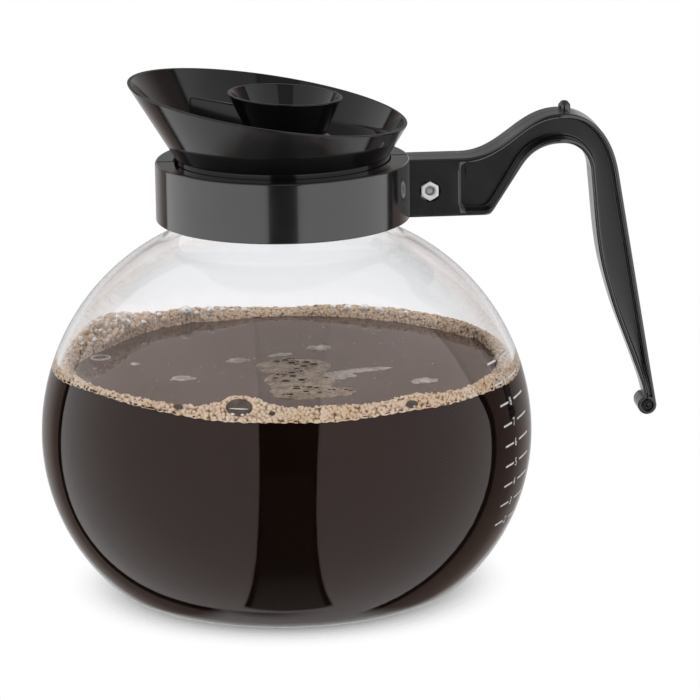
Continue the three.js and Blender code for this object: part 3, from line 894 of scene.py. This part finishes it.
class Froth:
    """Shape of the ring of froth on the glass at a bearing: its height, reach and foot over the coffee."""

    wide = staticmethod(waves(3, 3, 7, 11, 23))
    tall = staticmethod(waves(5, 4, 9, 17, 29))
    ragged = staticmethod(waves(9, 61, 97, 131, 173))
    low = staticmethod(waves(13, 5, 13, 83, 149))

    def __init__(self, angle):
        degrees = math.degrees(angle)
        self.angle = angle
        self.height = FROTH_HEIGHT + 0.3 * self.tall(angle) + 0.35 * self.ragged(angle)
        self.reach = FROTH_REACH + 0.7 * self.wide(angle) + 0.5 * self.ragged(angle)
        self.foot = FROTH_FOOT + 0.4 * self.low(angle)
        for middle, half, height, reach, lift in SWELLS:
            share = bell(degrees, middle, half)
            self.height += height * share
            self.reach += reach * share
            self.foot += lift * share
        self.edge = inner_radius(COFFEE_LEVEL) - self.reach

    def top(self, share):
        """Radius and height on the top of the ring, from the wall at 0 to its inner edge at 1."""
        height = self.height * max(1 - share ** 2.2, 0) ** 0.62
        wall = inner_radius(COFFEE_LEVEL + self.height)
        return wall + (self.edge - wall) * share, COFFEE_LEVEL + height

    def wall(self, share):
        """Radius and height against the glass, from the foot at 0 to the top at 1."""
        height = COFFEE_LEVEL + self.foot + (self.height - self.foot) * share
        return inner_radius(height) + FROTH_WALL, height

    def pressed(self, point):
        """A point of the ring drawn in towards its core between the bubbles."""
        radius, height = point
        spot = Vector(polar(radius, self.angle, height))
        core = Vector((self.edge + 0.6 * self.reach, COFFEE_LEVEL + 0.3 * self.height))
        inward = (core - Vector(point)).normalized()
        for cell, depth in RELIEF:
            apart = noise.voronoi(spot / cell)[0][0]
            inward_by = depth * (1 - math.sqrt(max(1 - (apart / 0.85) ** 2, 0)))
            radius += inward.x * inward_by
            height += inward.y * inward_by
        return radius, height

    def section(self):
        wall = [self.wall(k / 9) for k in range(10)]
        top = [self.top(k / 15) for k in range(1, 16)]
        under = [(self.edge, COFFEE_LEVEL - 0.3), (self.edge + self.reach / 2, COFFEE_LEVEL - 0.5)]
        return wall[:1] + [self.pressed(p) for p in wall[1:] + top] + under


def make_coffee():
    """Coffee up to its level, let into the inside of the glass so that no air lies between them."""
    side = [p for p in wall_face(GLASS_WALL - SOAK) if p[1] < COFFEE_LEVEL - 1.5]
    edge = inner_radius(COFFEE_LEVEL)
    inside = (edge - FILM_REACH, COFFEE_LEVEL)
    top = straight(inside, (0, COFFEE_LEVEL), 12)

    def section(angle):
        climb = max(Froth(angle).foot + 0.6, 0.4)
        high = COFFEE_LEVEL + climb
        film = [(inner_radius(high) + SOAK, high), (inner_radius(high) - 0.3, COFFEE_LEVEL + 0.6 * climb)]
        return side + [(edge + SOAK, COFFEE_LEVEL)] + film + [inside] + top

    body = make_object("coffee", turned(section, 360), dull_coffee("coffee_side"), 50)
    body.data.materials.append(coffee_top())
    for face in body.data.polygons:
        if face.normal.z > 0.6 and face.center.z > (COFFEE_LEVEL - 0.01) * MM:
            face.material_index = 1
    fit(body, "jug")


def around(radius, angle, height, size, squash=1.0):
    """A ball at a radius, bearing and height: its centre, its size and how flat it is."""
    return *polar(radius, angle, height), size, squash


def on_froth(angle, share, size, sink=0.3, squash=1.0):
    """A ball on the top of the froth, sunk by a share of its size."""
    radius, height = Froth(angle).top(share)
    return around(radius, angle, height - sink * size, size, squash)


def on_glass(degrees, rise, wide, high, proud):
    """Lens against the glass: bearing, height over the coffee, half sizes and how far it stands out."""
    shares = (1, 0.93, 0.75, 0.5, 0.25, 0)
    section = [(0, -0.3), (0.97, -0.3)]
    section += [(share, 0.02 + proud * math.sqrt(1 - share * share)) for share in shares]
    vertices, faces = lathe(section, 40)
    bent = []
    for a, b, out in vertices:
        height = COFFEE_LEVEL + rise + high * b
        radius = inner_radius(height) + FROTH_WALL + out
        angle = math.radians(degrees) + wide * a / radius
        bent.append(polar(radius, angle, height))
    return bent, faces


def make_bubbles(name, bubbles, material):
    """One piece of many balls, from (x, y, z, radius, squash in height)."""
    small, large = ball(1), ball(3)
    shapes = []
    for x, y, z, radius, squash in bubbles:
        points, sides = large if radius > LARGE_BUBBLE else small
        moved = [(x + radius * a, y + radius * b, z + radius * squash * c) for a, b, c in points]
        shapes.append((moved, sides))
    add_piece(name, gathered(shapes), material, sharp=SOFT)


def make_froth():
    ring = turned(lambda angle: Froth(angle).section(), 1200)
    add_piece("froth_ring", ring, froth_skin(), sharp=SOFT)
    draw = random.Random(17)

    def heaped():
        return math.radians(draw.gauss(*HEAP_BEARING))

    fine = [
        on_froth(draw.uniform(0, 2 * math.pi), draw.random() ** 0.7, 0.3 + 0.4 * draw.random() ** 3)
        for i in range(FINE_BUBBLES)
    ]
    tan = bubble_wall("froth_bubble", (0.66, 0.49, 0.36), (0.9, 0.78, 0.66), 0.2, 240)
    make_bubbles("froth_bubbles", fine, tan)
    heap = [
        on_froth(heaped(), draw.uniform(0.05, 0.95), 0.5 + 0.8 * draw.random())
        for i in range(HEAP_CREAM)
    ]
    # Paler copy of the tan bubble colour: partly painted light that makes up for the shade on the heap
    cream = bubble_wall("froth_cream_painted_light", (0.82, 0.62, 0.46), (1.0, 0.88, 0.74), 0.2, 240)
    make_bubbles("froth_heap", heap, cream)
    pale = [(math.radians(degrees), share, size) for degrees, share, size in PALE_HIGHLIGHT_BUBBLES]
    pale += [
        (heaped(), draw.uniform(0.05, 0.8), 0.6 + 1.4 * draw.random() ** 2)
        for i in range(HEAP_PALE_HIGHLIGHTS)
    ]
    # Near-white and mirror-like: partly pale froth and partly painted highlight; also the colour of the
    # glints on the glass
    white = bubble_wall("froth_pale_painted_highlight", (0.96, 0.94, 0.9), (1.0, 1.0, 0.98), 0.25, 300, 0.6)
    make_bubbles("froth_pale_bubbles", [on_froth(*bubble, 0.1, 0.8) for bubble in pale], white)
    hollow = bubble_wall("froth_hollow", (0.012, 0.007, 0.005), (0.09, 0.06, 0.045), 0.12, 320)
    # The pale lenses are painted highlights and a painted reflection
    for name, lenses, material in (("dark_lenses", DARK_LENSES, hollow), ("glints", HIGHLIGHT_LENSES, white)):
        add_piece(f"froth_{name}", gathered(on_glass(*lens) for lens in lenses), material, sharp=SOFT)


# Islands of froth on the coffee, the thick ones first: place, half sizes, turn in degrees, rise and wobble
ISLANDS = (
    (2.5, -5, 12, 11.5, 0, 0.7, 0.12), (2.5, -24, 11, 14, 0, 0.8, 0.12),
    (4, -38, 12, 8.5, 0, 0.7, 0.12), (14, -38.5, 5.5, 5, 0, 0.5, 0.2),
    (15.5, -18, 5.5, 5, 30, 0.5, 0.2), (24, -12, 9.5, 2.8, 14, 0.4, 0.2),
    (-15.2, 6.5, 4.2, 3, 0, 0.4, 0.3), (-34.2, -14.5, 3.7, 3.4, 0, 0.4, 0.3),
    (12.6, 20, 4.2, 3.6, 30, 0.5, 0.3), (42, -28.4, 4.3, 3.6, 0, 0.4, 0.3),
    (-48.9, 6.6, 1.6, 2, 0, 0.3, 0.3), (-1, 12.3, 4.2, 2.0, 20, 0.3, 0.3),
)
THICK_ISLANDS = 4
# How many bubbles and pits an island has to the product of its half sizes
ISLAND_BUBBLES = 0.35
PITS = 0.12
PIT_RADIUS = (0.8, 1.8)
LOOSE_SPECKS = 110
SPECK_REACH = 60
# Ring left by a bubble: place, radius and thickness
RING_BUBBLE = (-60, 16.2, 3.1, 0.4)


def loop(radius, height, thickness, segments):
    """Ring of round wire about Z."""
    return lathe(arc((radius, height), thickness, 0, 330, 30), segments)


def make_islands():
    thick = froth_film("froth_film", (0.07, 0.05, 0.033), (0.22, 0.165, 0.11), (0.42, 0.34, 0.25))
    thin = froth_film("froth_film_pale", (0.14, 0.115, 0.1), (0.36, 0.32, 0.29), (0.6, 0.55, 0.51))
    ridge = froth_film("froth_film_ridge", (0.2, 0.15, 0.1), (0.34, 0.27, 0.2), (0.5, 0.42, 0.33))
    draw = random.Random(29)
    specks, pits, ridges = [], [], []
    for index, (x, y, wide, deep, turn, rise, amount) in enumerate(ISLANDS):
        wobble = waves(40 + index, 2, 3, 5, 7)
        is_thick = index < THICK_ISLANDS

        def outline(angle):
            return 1 + amount * wobble(angle)

        def section(angle):
            grow = outline(angle)
            shares = (0.999, 0.96, 0.85, 0.65, 0.4, 0.15)
            rim = [(grow * share, rise * math.sqrt(1 - share * share) - 0.05) for share in shares]
            return [(0, -0.3), (0.99 * grow, -0.3)] + rim + [(0, rise)]

        def spot(inside):
            """Random place on the island."""
            angle = draw.uniform(0, 2 * math.pi)
            share = inside * math.sqrt(draw.random())
            reach = outline(angle) * share
            height = COFFEE_LEVEL + rise * math.sqrt(1 - share * share)
            flat = [(reach * math.cos(angle) * wide, reach * math.sin(angle) * deep, 0)]
            return placed((flat, []), x, y, height, turn)[0][0]

        vertices, faces = turned(section, 96)
        vertices = [(a * wide, b * deep, c) for a, b, c in vertices]
        patch = placed((vertices, faces), x, y, COFFEE_LEVEL, turn)
        add_piece(f"froth_island_{index}", patch, thick if is_thick else thin, sharp=SOFT)
        for i in range(int(ISLAND_BUBBLES * wide * deep)):
            specks.append((*spot(1.0), 0.16 + 0.35 * draw.random() ** 3, 0.7))
        for i in range(int(PITS * wide * deep) if is_thick else 0):
            place = spot(0.85)
            size = draw.uniform(*PIT_RADIUS)
            pits.append((*place, size, 0.14))
            ridges.append(placed(loop(size, 0, 0.16 * size, 24), *place))
    for i in range(LOOSE_SPECKS):
        angle = draw.uniform(0, 2 * math.pi)
        radius = SPECK_REACH * math.sqrt(draw.random())
        specks.append(around(radius, angle, COFFEE_LEVEL, 0.14 + 0.2 * draw.random() ** 2, 0.7))
    make_bubbles("froth_specks", specks, thin)
    make_bubbles("froth_pits", pits, dull_coffee("froth_pit"))
    add_piece("froth_ridges", gathered(ridges), ridge, sharp=SOFT)
    x, y, radius, thickness = RING_BUBBLE
    circle = placed(loop(radius, 0.1, thickness, 48), x, y, COFFEE_LEVEL)
    add_piece("froth_ring_bubble", circle, thin, sharp=SOFT)


# Scale of cups printed on the glass, low to high
SCALE_ROWS = 9
SCALE_FIRST_CUP = 2
SCALE_FIRST = 28.2
SCALE_PITCH = 6.6
SCALE_BEARING = -33.6
SCALE_DASHES = ((0.0, 6.0), (11.0, 21.0))
SCALE_NUMBER = 7.0
SCALE_STROKE = 0.6
SCALE_DIGITS = 2.6
SCALE_FONT = 1.4 * SCALE_DIGITS
SCALE_INK = 0.04


def scale_digits(number):
    """A number as a flat shape, from its lower left corner."""
    text = bpy.data.curves.new("digits", "FONT")
    text.body = str(number)
    text.size = SCALE_FONT
    text.extrude = SCALE_INK
    holder = bpy.data.objects.new("digits", text)
    flat = holder.to_mesh()
    shape = [tuple(v.co) for v in flat.vertices], [tuple(f.vertices) for f in flat.polygons]
    holder.to_mesh_clear()
    bpy.data.objects.remove(holder)
    bpy.data.curves.remove(text)
    return shape


def make_scale(material):
    """A plain number between two dashes for each cup, wrapped on the outside of the globe."""
    middle = SCALE_DIGITS / 2
    half = SCALE_STROKE / 2
    ring = [(-half, -SCALE_INK), (-half, SCALE_INK), (half, SCALE_INK), (half, -SCALE_INK)]
    rows = []
    for row in range(SCALE_ROWS):
        height = SCALE_FIRST + SCALE_PITCH * row
        marks = [placed(scale_digits(row + SCALE_FIRST_CUP), x=SCALE_NUMBER)]
        for start, end in SCALE_DASHES:
            steps = [start + (end - start) * i / 12 for i in range(13)]
            marks.append(skinned([[(x, middle + y, t) for y, t in ring] for x in steps]))
        flat, faces = gathered(marks)
        wrapped = []
        for x, y, thick in flat:
            level = height + y - middle
            radius = globe_radius(level) + thick
            angle = math.radians(SCALE_BEARING) + x / globe_radius(height)
            wrapped.append(polar(radius, angle, level))
        rows.append((wrapped, faces))
    add_piece("cup_scale", gathered(rows), material)


# Clamp halves


def collar_half():
    """Half ring on the -Y side, with its ends rounded off at the seam."""
    inner = NECK_RADIUS + 2 * CLEARANCE

    def section(angle):
        from_seam = collar_radius * abs(math.sin(angle)) - SEAM
        short = min(max(1 - from_seam / SEAM_ROUND, 0), 1)
        inset = SEAM_ROUND * (1 - math.sqrt(1 - short * short))
        return rounded([
            (collar_radius - inset, collar_bottom + inset, 0.5),
            (collar_radius - inset, collar_top - inset, 0.9),
            (lip_radius + inset, collar_top - inset, 0.3),
            (lip_radius + inset, collar_top - TOP_LIP, 0.2),
            (bore_radius, collar_top - TOP_LIP, 0.2),
            (bore_radius, collar_bottom + BOTTOM_LIP, 0.2),
            (inner + inset, collar_bottom + BOTTOM_LIP, 0.3),
            (inner + inset, collar_bottom + inset, 0.4),
        ])

    fine = [SEAM_ROUND * (1 - math.cos(math.pi / 2 * i / 6)) for i in range(6)]
    ends = [math.asin((SEAM + d) / collar_radius) for d in fine]
    last = math.asin((SEAM + SEAM_ROUND) / collar_radius)
    middle = [last + (math.pi - 2 * last) * i / 90 for i in range(91)]
    angles = [math.pi + a for a in ends + middle + [math.pi - a for a in reversed(ends)]]
    return skinned([[polar(r, a, z) for r, z in section(a)] for a in angles])


def handle_edges():
    """Matching points along the top and bottom edges of the handle, from the collar to the grip's eye."""
    root_x = bore_radius + COLLAR_WALL / 2
    bottom = handle_top - root_height
    turns = [math.pi / 2 * i / 6 for i in range(7)]
    run = POCKET_DRAFT * (HALF_WIDTH - WEB / 2)
    past = run + POCKET_FOOT
    stations = [root_x + (pocket_x - POCKET_LIP - root_x) * i / 6 for i in range(6)]
    stations += [pocket_x + POCKET_LIP * (math.sin(t) - 1) for t in turns]
    stations += [pocket_x + run + POCKET_FOOT * (1 - math.cos(t)) for t in turns]
    stations += [pocket_x + past + (POCKET_CORNER - past) * i / 8 for i in range(1, 9)]
    top = [(x, handle_top) for x in stations]
    low = [(x, bottom) for x in stations]

    flat_end = collar_radius + TOP_FLAT
    climb = (hump_x - flat_end) * S_CURVE_PULL
    top += straight(top[-1], (flat_end, handle_top), 4)
    top += bezier(top[-1], (flat_end + climb, handle_top), (hump_x - climb, hump_z), (hump_x, hump_z), 44)
    crown = hump_z - grip_z
    lean = crown * GRIP_LEAN / GRIP_LENGTH
    top += bezier(
        top[-1],
        (hump_x + (grip_x - hump_x) * ROUND_PULL, hump_z),
        (grip_x - lean * ROUND_PULL, grip_z + crown * ROUND_PULL),
        (grip_x, grip_z),
        26,
    )

    slant = Vector((ARCH_RUN, root_height - ARCH_START_DROP)).normalized()
    corner = (bracket_x, bottom)
    arch_z = handle_top - ARCH_START_DROP
    apex_z = hump_z - HUMP_THICKNESS
    pull = (apex_z - arch_z) * ROUND_PULL
    inner_x = grip_x - GRIP_SECTIONS[0][1]
    low += straight(low[-1], (bracket_x - BRACKET_CORNER, bottom), 4)
    corner_end = (bracket_x + slant.x * BRACKET_CORNER, bottom + slant.y * BRACKET_CORNER)
    low += bezier(low[-1], corner, corner, corner_end, 10)
    low += straight(low[-1], (arch_x, arch_z), 10)
    low += bezier(
        low[-1],
        (arch_x + slant.x * pull, arch_z + slant.y * pull),
        (hump_x - (hump_x - arch_x) * ROUND_PULL, apex_z),
        (hump_x, apex_z),
        24,
    )
    low += bezier(
        low[-1],
        (hump_x + (inner_x - hump_x) * ROUND_PULL, apex_z),
        (inner_x, grip_z + (apex_z - grip_z) * ROUND_PULL),
        (inner_x, grip_z),
        26,
    )
    for i in range(1, 61):
        share = i / 60
        outer = grip_x + GRIP_LEAN * share
        height = grip_z - GRIP_LENGTH * share
        top.append((outer, height))
        low.append((outer - grip_thickness(share), height))
    return top, low


def grip_thickness(share):
    """Thickness of the grip at a share of its length, by a smooth curve through its sections."""
    index = next(i for i, section in enumerate(GRIP_SECTIONS[1:]) if share <= section[0])
    (s0, t0), (s1, t1) = GRIP_SECTIONS[index:index + 2]
    before = GRIP_SECTIONS[max(index - 1, 0)]
    after = GRIP_SECTIONS[min(index + 2, len(GRIP_SECTIONS) - 1)]
    slope0 = (t1 - before[1]) / (s1 - before[0])
    slope1 = (after[1] - t0) / (after[0] - s0)
    span = s1 - s0
    u = (share - s0) / span
    ends = (2 * u ** 3 - 3 * u ** 2 + 1) * t0 + (3 * u ** 2 - 2 * u ** 3) * t1
    return ends + ((u ** 3 - 2 * u ** 2 + u) * slope0 + (u ** 3 - u ** 2) * slope1) * span


def half_width_at(x):
    part = min(max((x - hump_x) / (eye_x - EYE_RADIUS - hump_x), 0), 1)
    return HALF_WIDTH + (END_HALF_WIDTH - HALF_WIDTH) * part


def pocket_floor(x, share, width):
    """How far from the seam plane the side of the handle lies between its edges."""
    inward = x - pocket_x
    if inward <= -POCKET_LIP:
        return width
    deep = width - WEB / 2
    fade = min(max((share - POCKET_SHALLOW) / (POCKET_END - POCKET_SHALLOW), 0), 1)
    depth = deep + (EYE_RECESS - deep) * (3 - 2 * fade) * fade * fade
    run = POCKET_DRAFT * deep
    if inward <= 0:
        turn = 1 + inward / POCKET_LIP
        return width - POCKET_LIP * (1 - math.sqrt(max(1 - turn * turn, 0)))
    if inward < run:
        return width - POCKET_LIP - (depth - POCKET_FOOT - POCKET_LIP) * inward / run
    turn = max(1 - (inward - run) / POCKET_FOOT, 0)
    return width - depth + POCKET_FOOT * (1 - math.sqrt(1 - turn * turn))


def pocket_inset(x):
    """Extra inset of the pocket's edges where its corners are rounded."""
    short = min(max(POCKET_CORNER - (x - pocket_x), 0), POCKET_CORNER)
    return POCKET_CORNER - math.sqrt(POCKET_CORNER ** 2 - short ** 2)


def handle_half():
    """Half handle on the -Y side: sections across it, from the collar to the eye."""
    rings = []
    for top, low in zip(*handle_edges()):
        top, low = Vector(top), Vector(low)
        length = (low - top).length
        down = (low - top).normalized()
        middle = (top + low) / 2
        width = half_width_at(middle.x)
        share = min(max((grip_z - middle.y) / GRIP_LENGTH, 0), 1) if middle.x > hump_x else 0
        floor = pocket_floor(middle.x, share, width)
        flange = min(FLANGE, 0.3 * length) + pocket_inset(middle.x)
        lip = min(POCKET_LIP, 0.8 * (flange - EDGE), 0.9 * (width - floor) + 0.01)
        foot = max(min(POCKET_FOOT, 0.45 * (width - floor)), 0.01)
        inside = flange + max(POCKET_DRAFT * (width - floor), 0.05)
        section = rounded([
            (0, SEAM, 0),
            (0, width, EDGE),
            (flange, width, lip),
            (inside, floor, foot),
            (length - inside, floor, foot),
            (length - flange, width, lip),
            (length, width, EDGE),
            (length, SEAM, 0),
        ])
        rings.append([(top.x + down.x * u, -y, top.y + down.y * u) for u, y in section])
    return skinned(rings)


def eye_half():
    """Round end of the grip on the -Y side, with its recess and bore."""
    section = rounded([
        (RIVET_RADIUS + CLEARANCE, -SEAM, 0),
        (EYE_RADIUS, -SEAM, 0),
        (EYE_RADIUS, -END_HALF_WIDTH, EDGE),
        (RIVET_HEAD_RADIUS + CLEARANCE, -END_HALF_WIDTH, 0.3),
        (RIVET_HEAD_RADIUS + CLEARANCE, EYE_RECESS - END_HALF_WIDTH, 0.1),
        (RIVET_RADIUS + CLEARANCE, EYE_RECESS - END_HALF_WIDTH, 0),
    ])
    return along_y(lathe(section, 48), eye_x, eye_z)


def eye_channel():
    """Cut on the -Y side that leads the grip's pocket into the recess of the eye."""
    along = Vector((-GRIP_LEAN, GRIP_LENGTH)).normalized()
    across = Vector((along.y, -along.x))
    corners = []
    for distance in (0.5, EYE_RADIUS + 1.0):
        for side in (-EYE_CHANNEL_HALF, EYE_CHANNEL_HALF):
            spot = Vector((eye_x, eye_z)) + along * distance + across * side
            corners += [(spot.x, y, spot.y) for y in (EYE_RECESS - END_HALF_WIDTH, -END_HALF_WIDTH - 2)]
    return corners, BOX_FACES


def make_clamp_half(side, material):
    """One moulded half: collar, handle and eye in one piece, with the bolt's hole and recess."""
    node = f"clamp_half_{side}"
    left = side == "left"
    recess_radius = (nut_corner if left else BOLT_HEAD_RADIUS) + CLEARANCE
    recess = disc(recess_radius, -HALF_WIDTH - 2, RECESS_DEPTH - HALF_WIDTH)
    hole = disc(BOLT_RADIUS + CLEARANCE, -HALF_WIDTH, HALF_WIDTH)
    shapes = [
        (handle_half(), "UNION"),
        (eye_half(), "UNION"),
        (eye_channel(), "DIFFERENCE"),
        (along_y(recess, bolt_x, bolt_z), "DIFFERENCE"),
        (along_y(hole, bolt_x, bolt_z), "DIFFERENCE"),
    ]
    collar = collar_half()
    half = make_object(f"{node}.moulding", collar if left else mirrored(collar))
    for shape, operation in shapes:
        combine(half, shape if left else mirrored(shape), operation)
    even(half, material)
    fit(half, "jug", node)


# Fasteners and peg


def make_nut(material):
    """Hexagon nut with a corner up, its corners cut by a cone on both faces."""
    bore = BOLT_RADIUS + NUT_PLAY
    mouth = bore + NUT_SINK / 2
    flat = NUT_FLATS / 2
    plateau = NUT_PLATEAU * flat

    def section(angle):
        turn = (angle - math.pi / 2) % (math.pi / 3) - math.pi / 6
        reach = flat / math.cos(turn)
        drop = (reach - plateau) * math.tan(math.radians(NUT_CONE))
        half = [(bore, NUT_SINK), (mouth, 0), (plateau, 0), (reach, drop)]
        return half + [(r, NUT_HEIGHT - h) for r, h in reversed(half)]

    vertices, faces = along_y(turned(section, 96), bolt_x, bolt_z)
    vertices = [(x, -nut_seat - h, z) for x, h, z in vertices]
    add_piece("clamp_nut.hexagon", (vertices, faces), material, "clamp_nut", 20)


def make_bolt(material):
    """Machine bolt with a round slotted head and a thread that shows at the nut."""
    end = -nut_seat - NUT_HEIGHT + BOLT_END_INSIDE
    head = nut_seat + BOLT_HEAD_HEIGHT
    root = BOLT_RADIUS - THREAD_DEPTH
    section = [(0, end), (root - BOLT_POINT / 2, end)]
    place = end + BOLT_POINT
    while place < 0:
        section += [(root, place), (BOLT_RADIUS, place + THREAD_PITCH / 2)]
        place += THREAD_PITCH
    section += [(BOLT_RADIUS, nut_seat)]
    section += rounded([
        (BOLT_HEAD_RADIUS, nut_seat, 0.2),
        (BOLT_HEAD_RADIUS, nut_seat + 0.55 * BOLT_HEAD_HEIGHT, 0.6),
        (0.72 * BOLT_HEAD_RADIUS, head, 0.6),
        (0, head, 0),
        (0, nut_seat, 0),
    ])[:-1]
    shape = along_y(lathe(section, 48), bolt_x, bolt_z)
    bolt = make_object("clamp_bolt.threaded", shape, material)
    across = 2 * BOLT_HEAD_RADIUS
    slot = box((-across, across), (head - SLOT_DEPTH, head + 1), (-SLOT_HALF, SLOT_HALF))
    combine(bolt, placed(slot, bolt_x, 0, bolt_z), "DIFFERENCE")
    fit(bolt, "jug", "clamp_bolt")


def make_rivet(material):
    face = END_HALF_WIDTH - EYE_RECESS + CLEARANCE
    half = [
        (RIVET_RADIUS, face, 0),
        (RIVET_HEAD_RADIUS, face, 0.05),
        (RIVET_HEAD_RADIUS, face + RIVET_HEAD, 0.35),
        (RIVET_BORE, face + RIVET_HEAD, 0.15),
    ]
    section = rounded([(r, -y, rounding) for r, y, rounding in reversed(half)] + half)
    shape = along_y(lathe(section, 40), eye_x, eye_z)
    add_piece("grip_rivet.tube", shape, material, "grip_rivet")


def make_peg(material):
    """Small stud on the hump with a pointed top."""
    section = rounded([
        (0, -PEG_PIN_DEPTH, 0),
        (PEG_PIN_RADIUS, -PEG_PIN_DEPTH, 0.1),
        (PEG_PIN_RADIUS, 0, 0),
        (PEG_RADIUS, -0.1, 0.1),
        (PEG_RADIUS, 0.58 * PEG_HEIGHT, 1.0),
        (0.5 * PEG_RADIUS, 0.96 * PEG_HEIGHT, 0.7),
        (0, PEG_HEIGHT, 0),
    ])
    shape = placed(lathe(section, 40), hump_x + PEG_BEHIND_HUMP, 0, hump_z)
    add_piece("handle_peg.stud", shape, material, "handle_peg")


def make_cushion(material):
    inner, outer = NECK_RADIUS + CLEARANCE, bore_radius - CLEARANCE
    bottom = collar_bottom + BOTTOM_LIP + CLEARANCE
    top = glass_top - BEAD_HEIGHT - BEAD_PROUD - CLEARANCE
    section = rounded([(inner, bottom, 0.5), (outer, bottom, 0.5), (outer, top, 0.5), (inner, top, 0.5)])
    add_piece("neck_cushion.ring", lathe(section, 96), material, "neck_cushion")


# Lid


def cone_radius(height):
    return shoulder_radius + CONE_SLOPE * (height - cone_start)


def slanted_rim(radius_at, wall, height_on_axis, slope, angle):
    """Outer and inner corner of a cone's rim, cut by a plane that falls towards +X."""
    fall = slope * math.cos(angle)
    growth = radius_at(1) - radius_at(0)
    corners = []
    for inset in (0, wall):
        height = (height_on_axis - fall * (radius_at(0) - inset)) / (1 + fall * growth)
        corners.append((radius_at(height) - inset, height, RIM_EDGE))
    return corners


def make_lid(material):
    hole_radius = SPOUT_RADIUS + CLEARANCE
    inside = plug_radius - LID_WALL
    under = lid_floor - FLOOR_THICKNESS
    plug_bottom = lid_seat - PLUG_DEPTH

    def section(angle):
        spread = math.sqrt(hole_radius ** 2 - (FUNNEL_SHIFT * math.sin(angle)) ** 2)
        hole = FUNNEL_SHIFT * math.cos(angle) + spread
        return rounded([
            (hole, under, 0.2),
            (inside, under, 0.6),
            (inside, plug_bottom, 0.3),
            (plug_radius, plug_bottom, 0.5),
            (plug_radius, lid_seat, 0.2),
            (shoulder_radius, lid_seat, 0.3),
            (shoulder_radius, cone_start, 0.5),
            *slanted_rim(cone_radius, cone_thickness, lid_rim, RIM_SLOPE, angle),
            (cone_radius(lid_floor) - cone_thickness, lid_floor, 1.6),
            (hole, lid_floor, 0.2),
        ], 6)

    bowl = make_object("lid_bowl.funnel", placed(turned(section, 192), turn=-LID_TURN))
    half = plug_radius * math.sin(math.radians(POUR_WINDOW_PITCH) / 2) - POUR_WINDOW_BAR / 2
    window = box(
        (-shoulder_radius - 1, -plug_radius + 2 * LID_WALL),
        (-half, half),
        (cone_start - POUR_WINDOW_HEIGHT, cone_start),
    )
    for i in range(POUR_WINDOWS):
        turn = POUR_WINDOW_PITCH * (i - (POUR_WINDOWS - 1) / 2) - LID_TURN
        combine(bowl, placed(window, turn=turn), "DIFFERENCE")
    even(bowl, material)
    fit(bowl, "lid", "lid_bowl")


def make_drip_funnel(material):
    seat = lid_floor + CLEARANCE
    spout_bottom = lid_floor - SPOUT_LENGTH
    snap = lid_floor - FLOOR_THICKNESS - CLEARANCE
    bore = SPOUT_RADIUS - SPOUT_WALL
    waist = seat + 2 * FOOT_HEIGHT
    rim = seat + CUP_HEIGHT
    flare = (CUP_RIM_RADIUS - WAIST_RADIUS) / (rim - waist)

    def cup_radius(height):
        return CUP_RIM_RADIUS + flare * (height - rim)

    def section(angle):
        return rounded([
            (bore, spout_bottom, 0.3),
            (SPOUT_RADIUS, spout_bottom, 0.4),
            (SPOUT_RADIUS, snap - 2 * SNAP_PROUD, 0.1),
            (SPOUT_RADIUS + SNAP_PROUD, snap, 0.2),
            (SPOUT_RADIUS, snap, 0.1),
            (SPOUT_RADIUS, seat, 0.1),
            (FOOT_RADIUS, seat, 0.3),
            (FOOT_RADIUS, seat + FOOT_HEIGHT, 0.5),
            (WAIST_RADIUS, waist, 1.0),
            *slanted_rim(cup_radius, LID_WALL, rim, CUP_SLOPE, angle),
            (WAIST_RADIUS - LID_WALL, waist, 2.0),
            (bore, seat, 1.5),
        ])

    cup_shape = placed(turned(section, 128), x=FUNNEL_SHIFT)
    cup = make_object("drip_funnel.cup", placed(cup_shape, turn=-LID_TURN))

    def fin_top(x):
        return lid_rim - FIN_BELOW_RIM - RIM_SLOPE * x

    def fin_root(height):
        return FUNNEL_SHIFT + LID_WALL / 2 - cup_radius(height)

    def fin_half(x, z):
        part = (z - seat) / (fin_top(-FIN_REACH) - seat)
        taper = FIN_TAPER * (2 + x / FIN_REACH)
        return (FIN_FOOT_HALF + (FIN_TOP_HALF - FIN_FOOT_HALF) * part) * taper

    start = fin_root(fin_top(FUNNEL_SHIFT - CUP_RIM_RADIUS))
    outline = [
        (FUNNEL_SHIFT + 1 - FOOT_RADIUS, seat), (fin_root(waist), waist), (start, fin_top(start)),
        (-FIN_REACH, fin_top(-FIN_REACH)), (-FIN_REACH, seat),
    ]
    fin = skinned([[(x, side * fin_half(x, z), z) for x, z in outline] for side in (-1, 1)])
    combine(cup, placed(fin, turn=-LID_TURN), "UNION", FIN_EDGE)
    even(cup, material)
    fit(cup, "lid", "drip_funnel")


def build():
    make_camera()
    make_world()
    make_floor()
    make_lamp()
    make_glass(clear_glass())
    make_coffee()
    make_froth()
    make_islands()
    make_scale(print_white())
    make_cushion(rubber())
    handle = handle_black()
    make_clamp_half("left", handle)
    make_clamp_half("right", handle)
    # The bolt's zinc is darker than the nut's, partly painted shade in its thread; the nut's near-white,
    # nearly diffuse zinc is a painted sheen
    make_bolt(zinc("zinc_thread_painted_shade", (0.6, 0.57, 0.55), 1.0))
    make_nut(zinc("zinc_plate_painted_sheen", (0.98, 0.98, 0.99), 0.05))
    make_rivet(black_steel())
    make_peg(handle)
    lid = lid_black()
    make_lid(lid)
    make_drip_funnel(lid)


build()
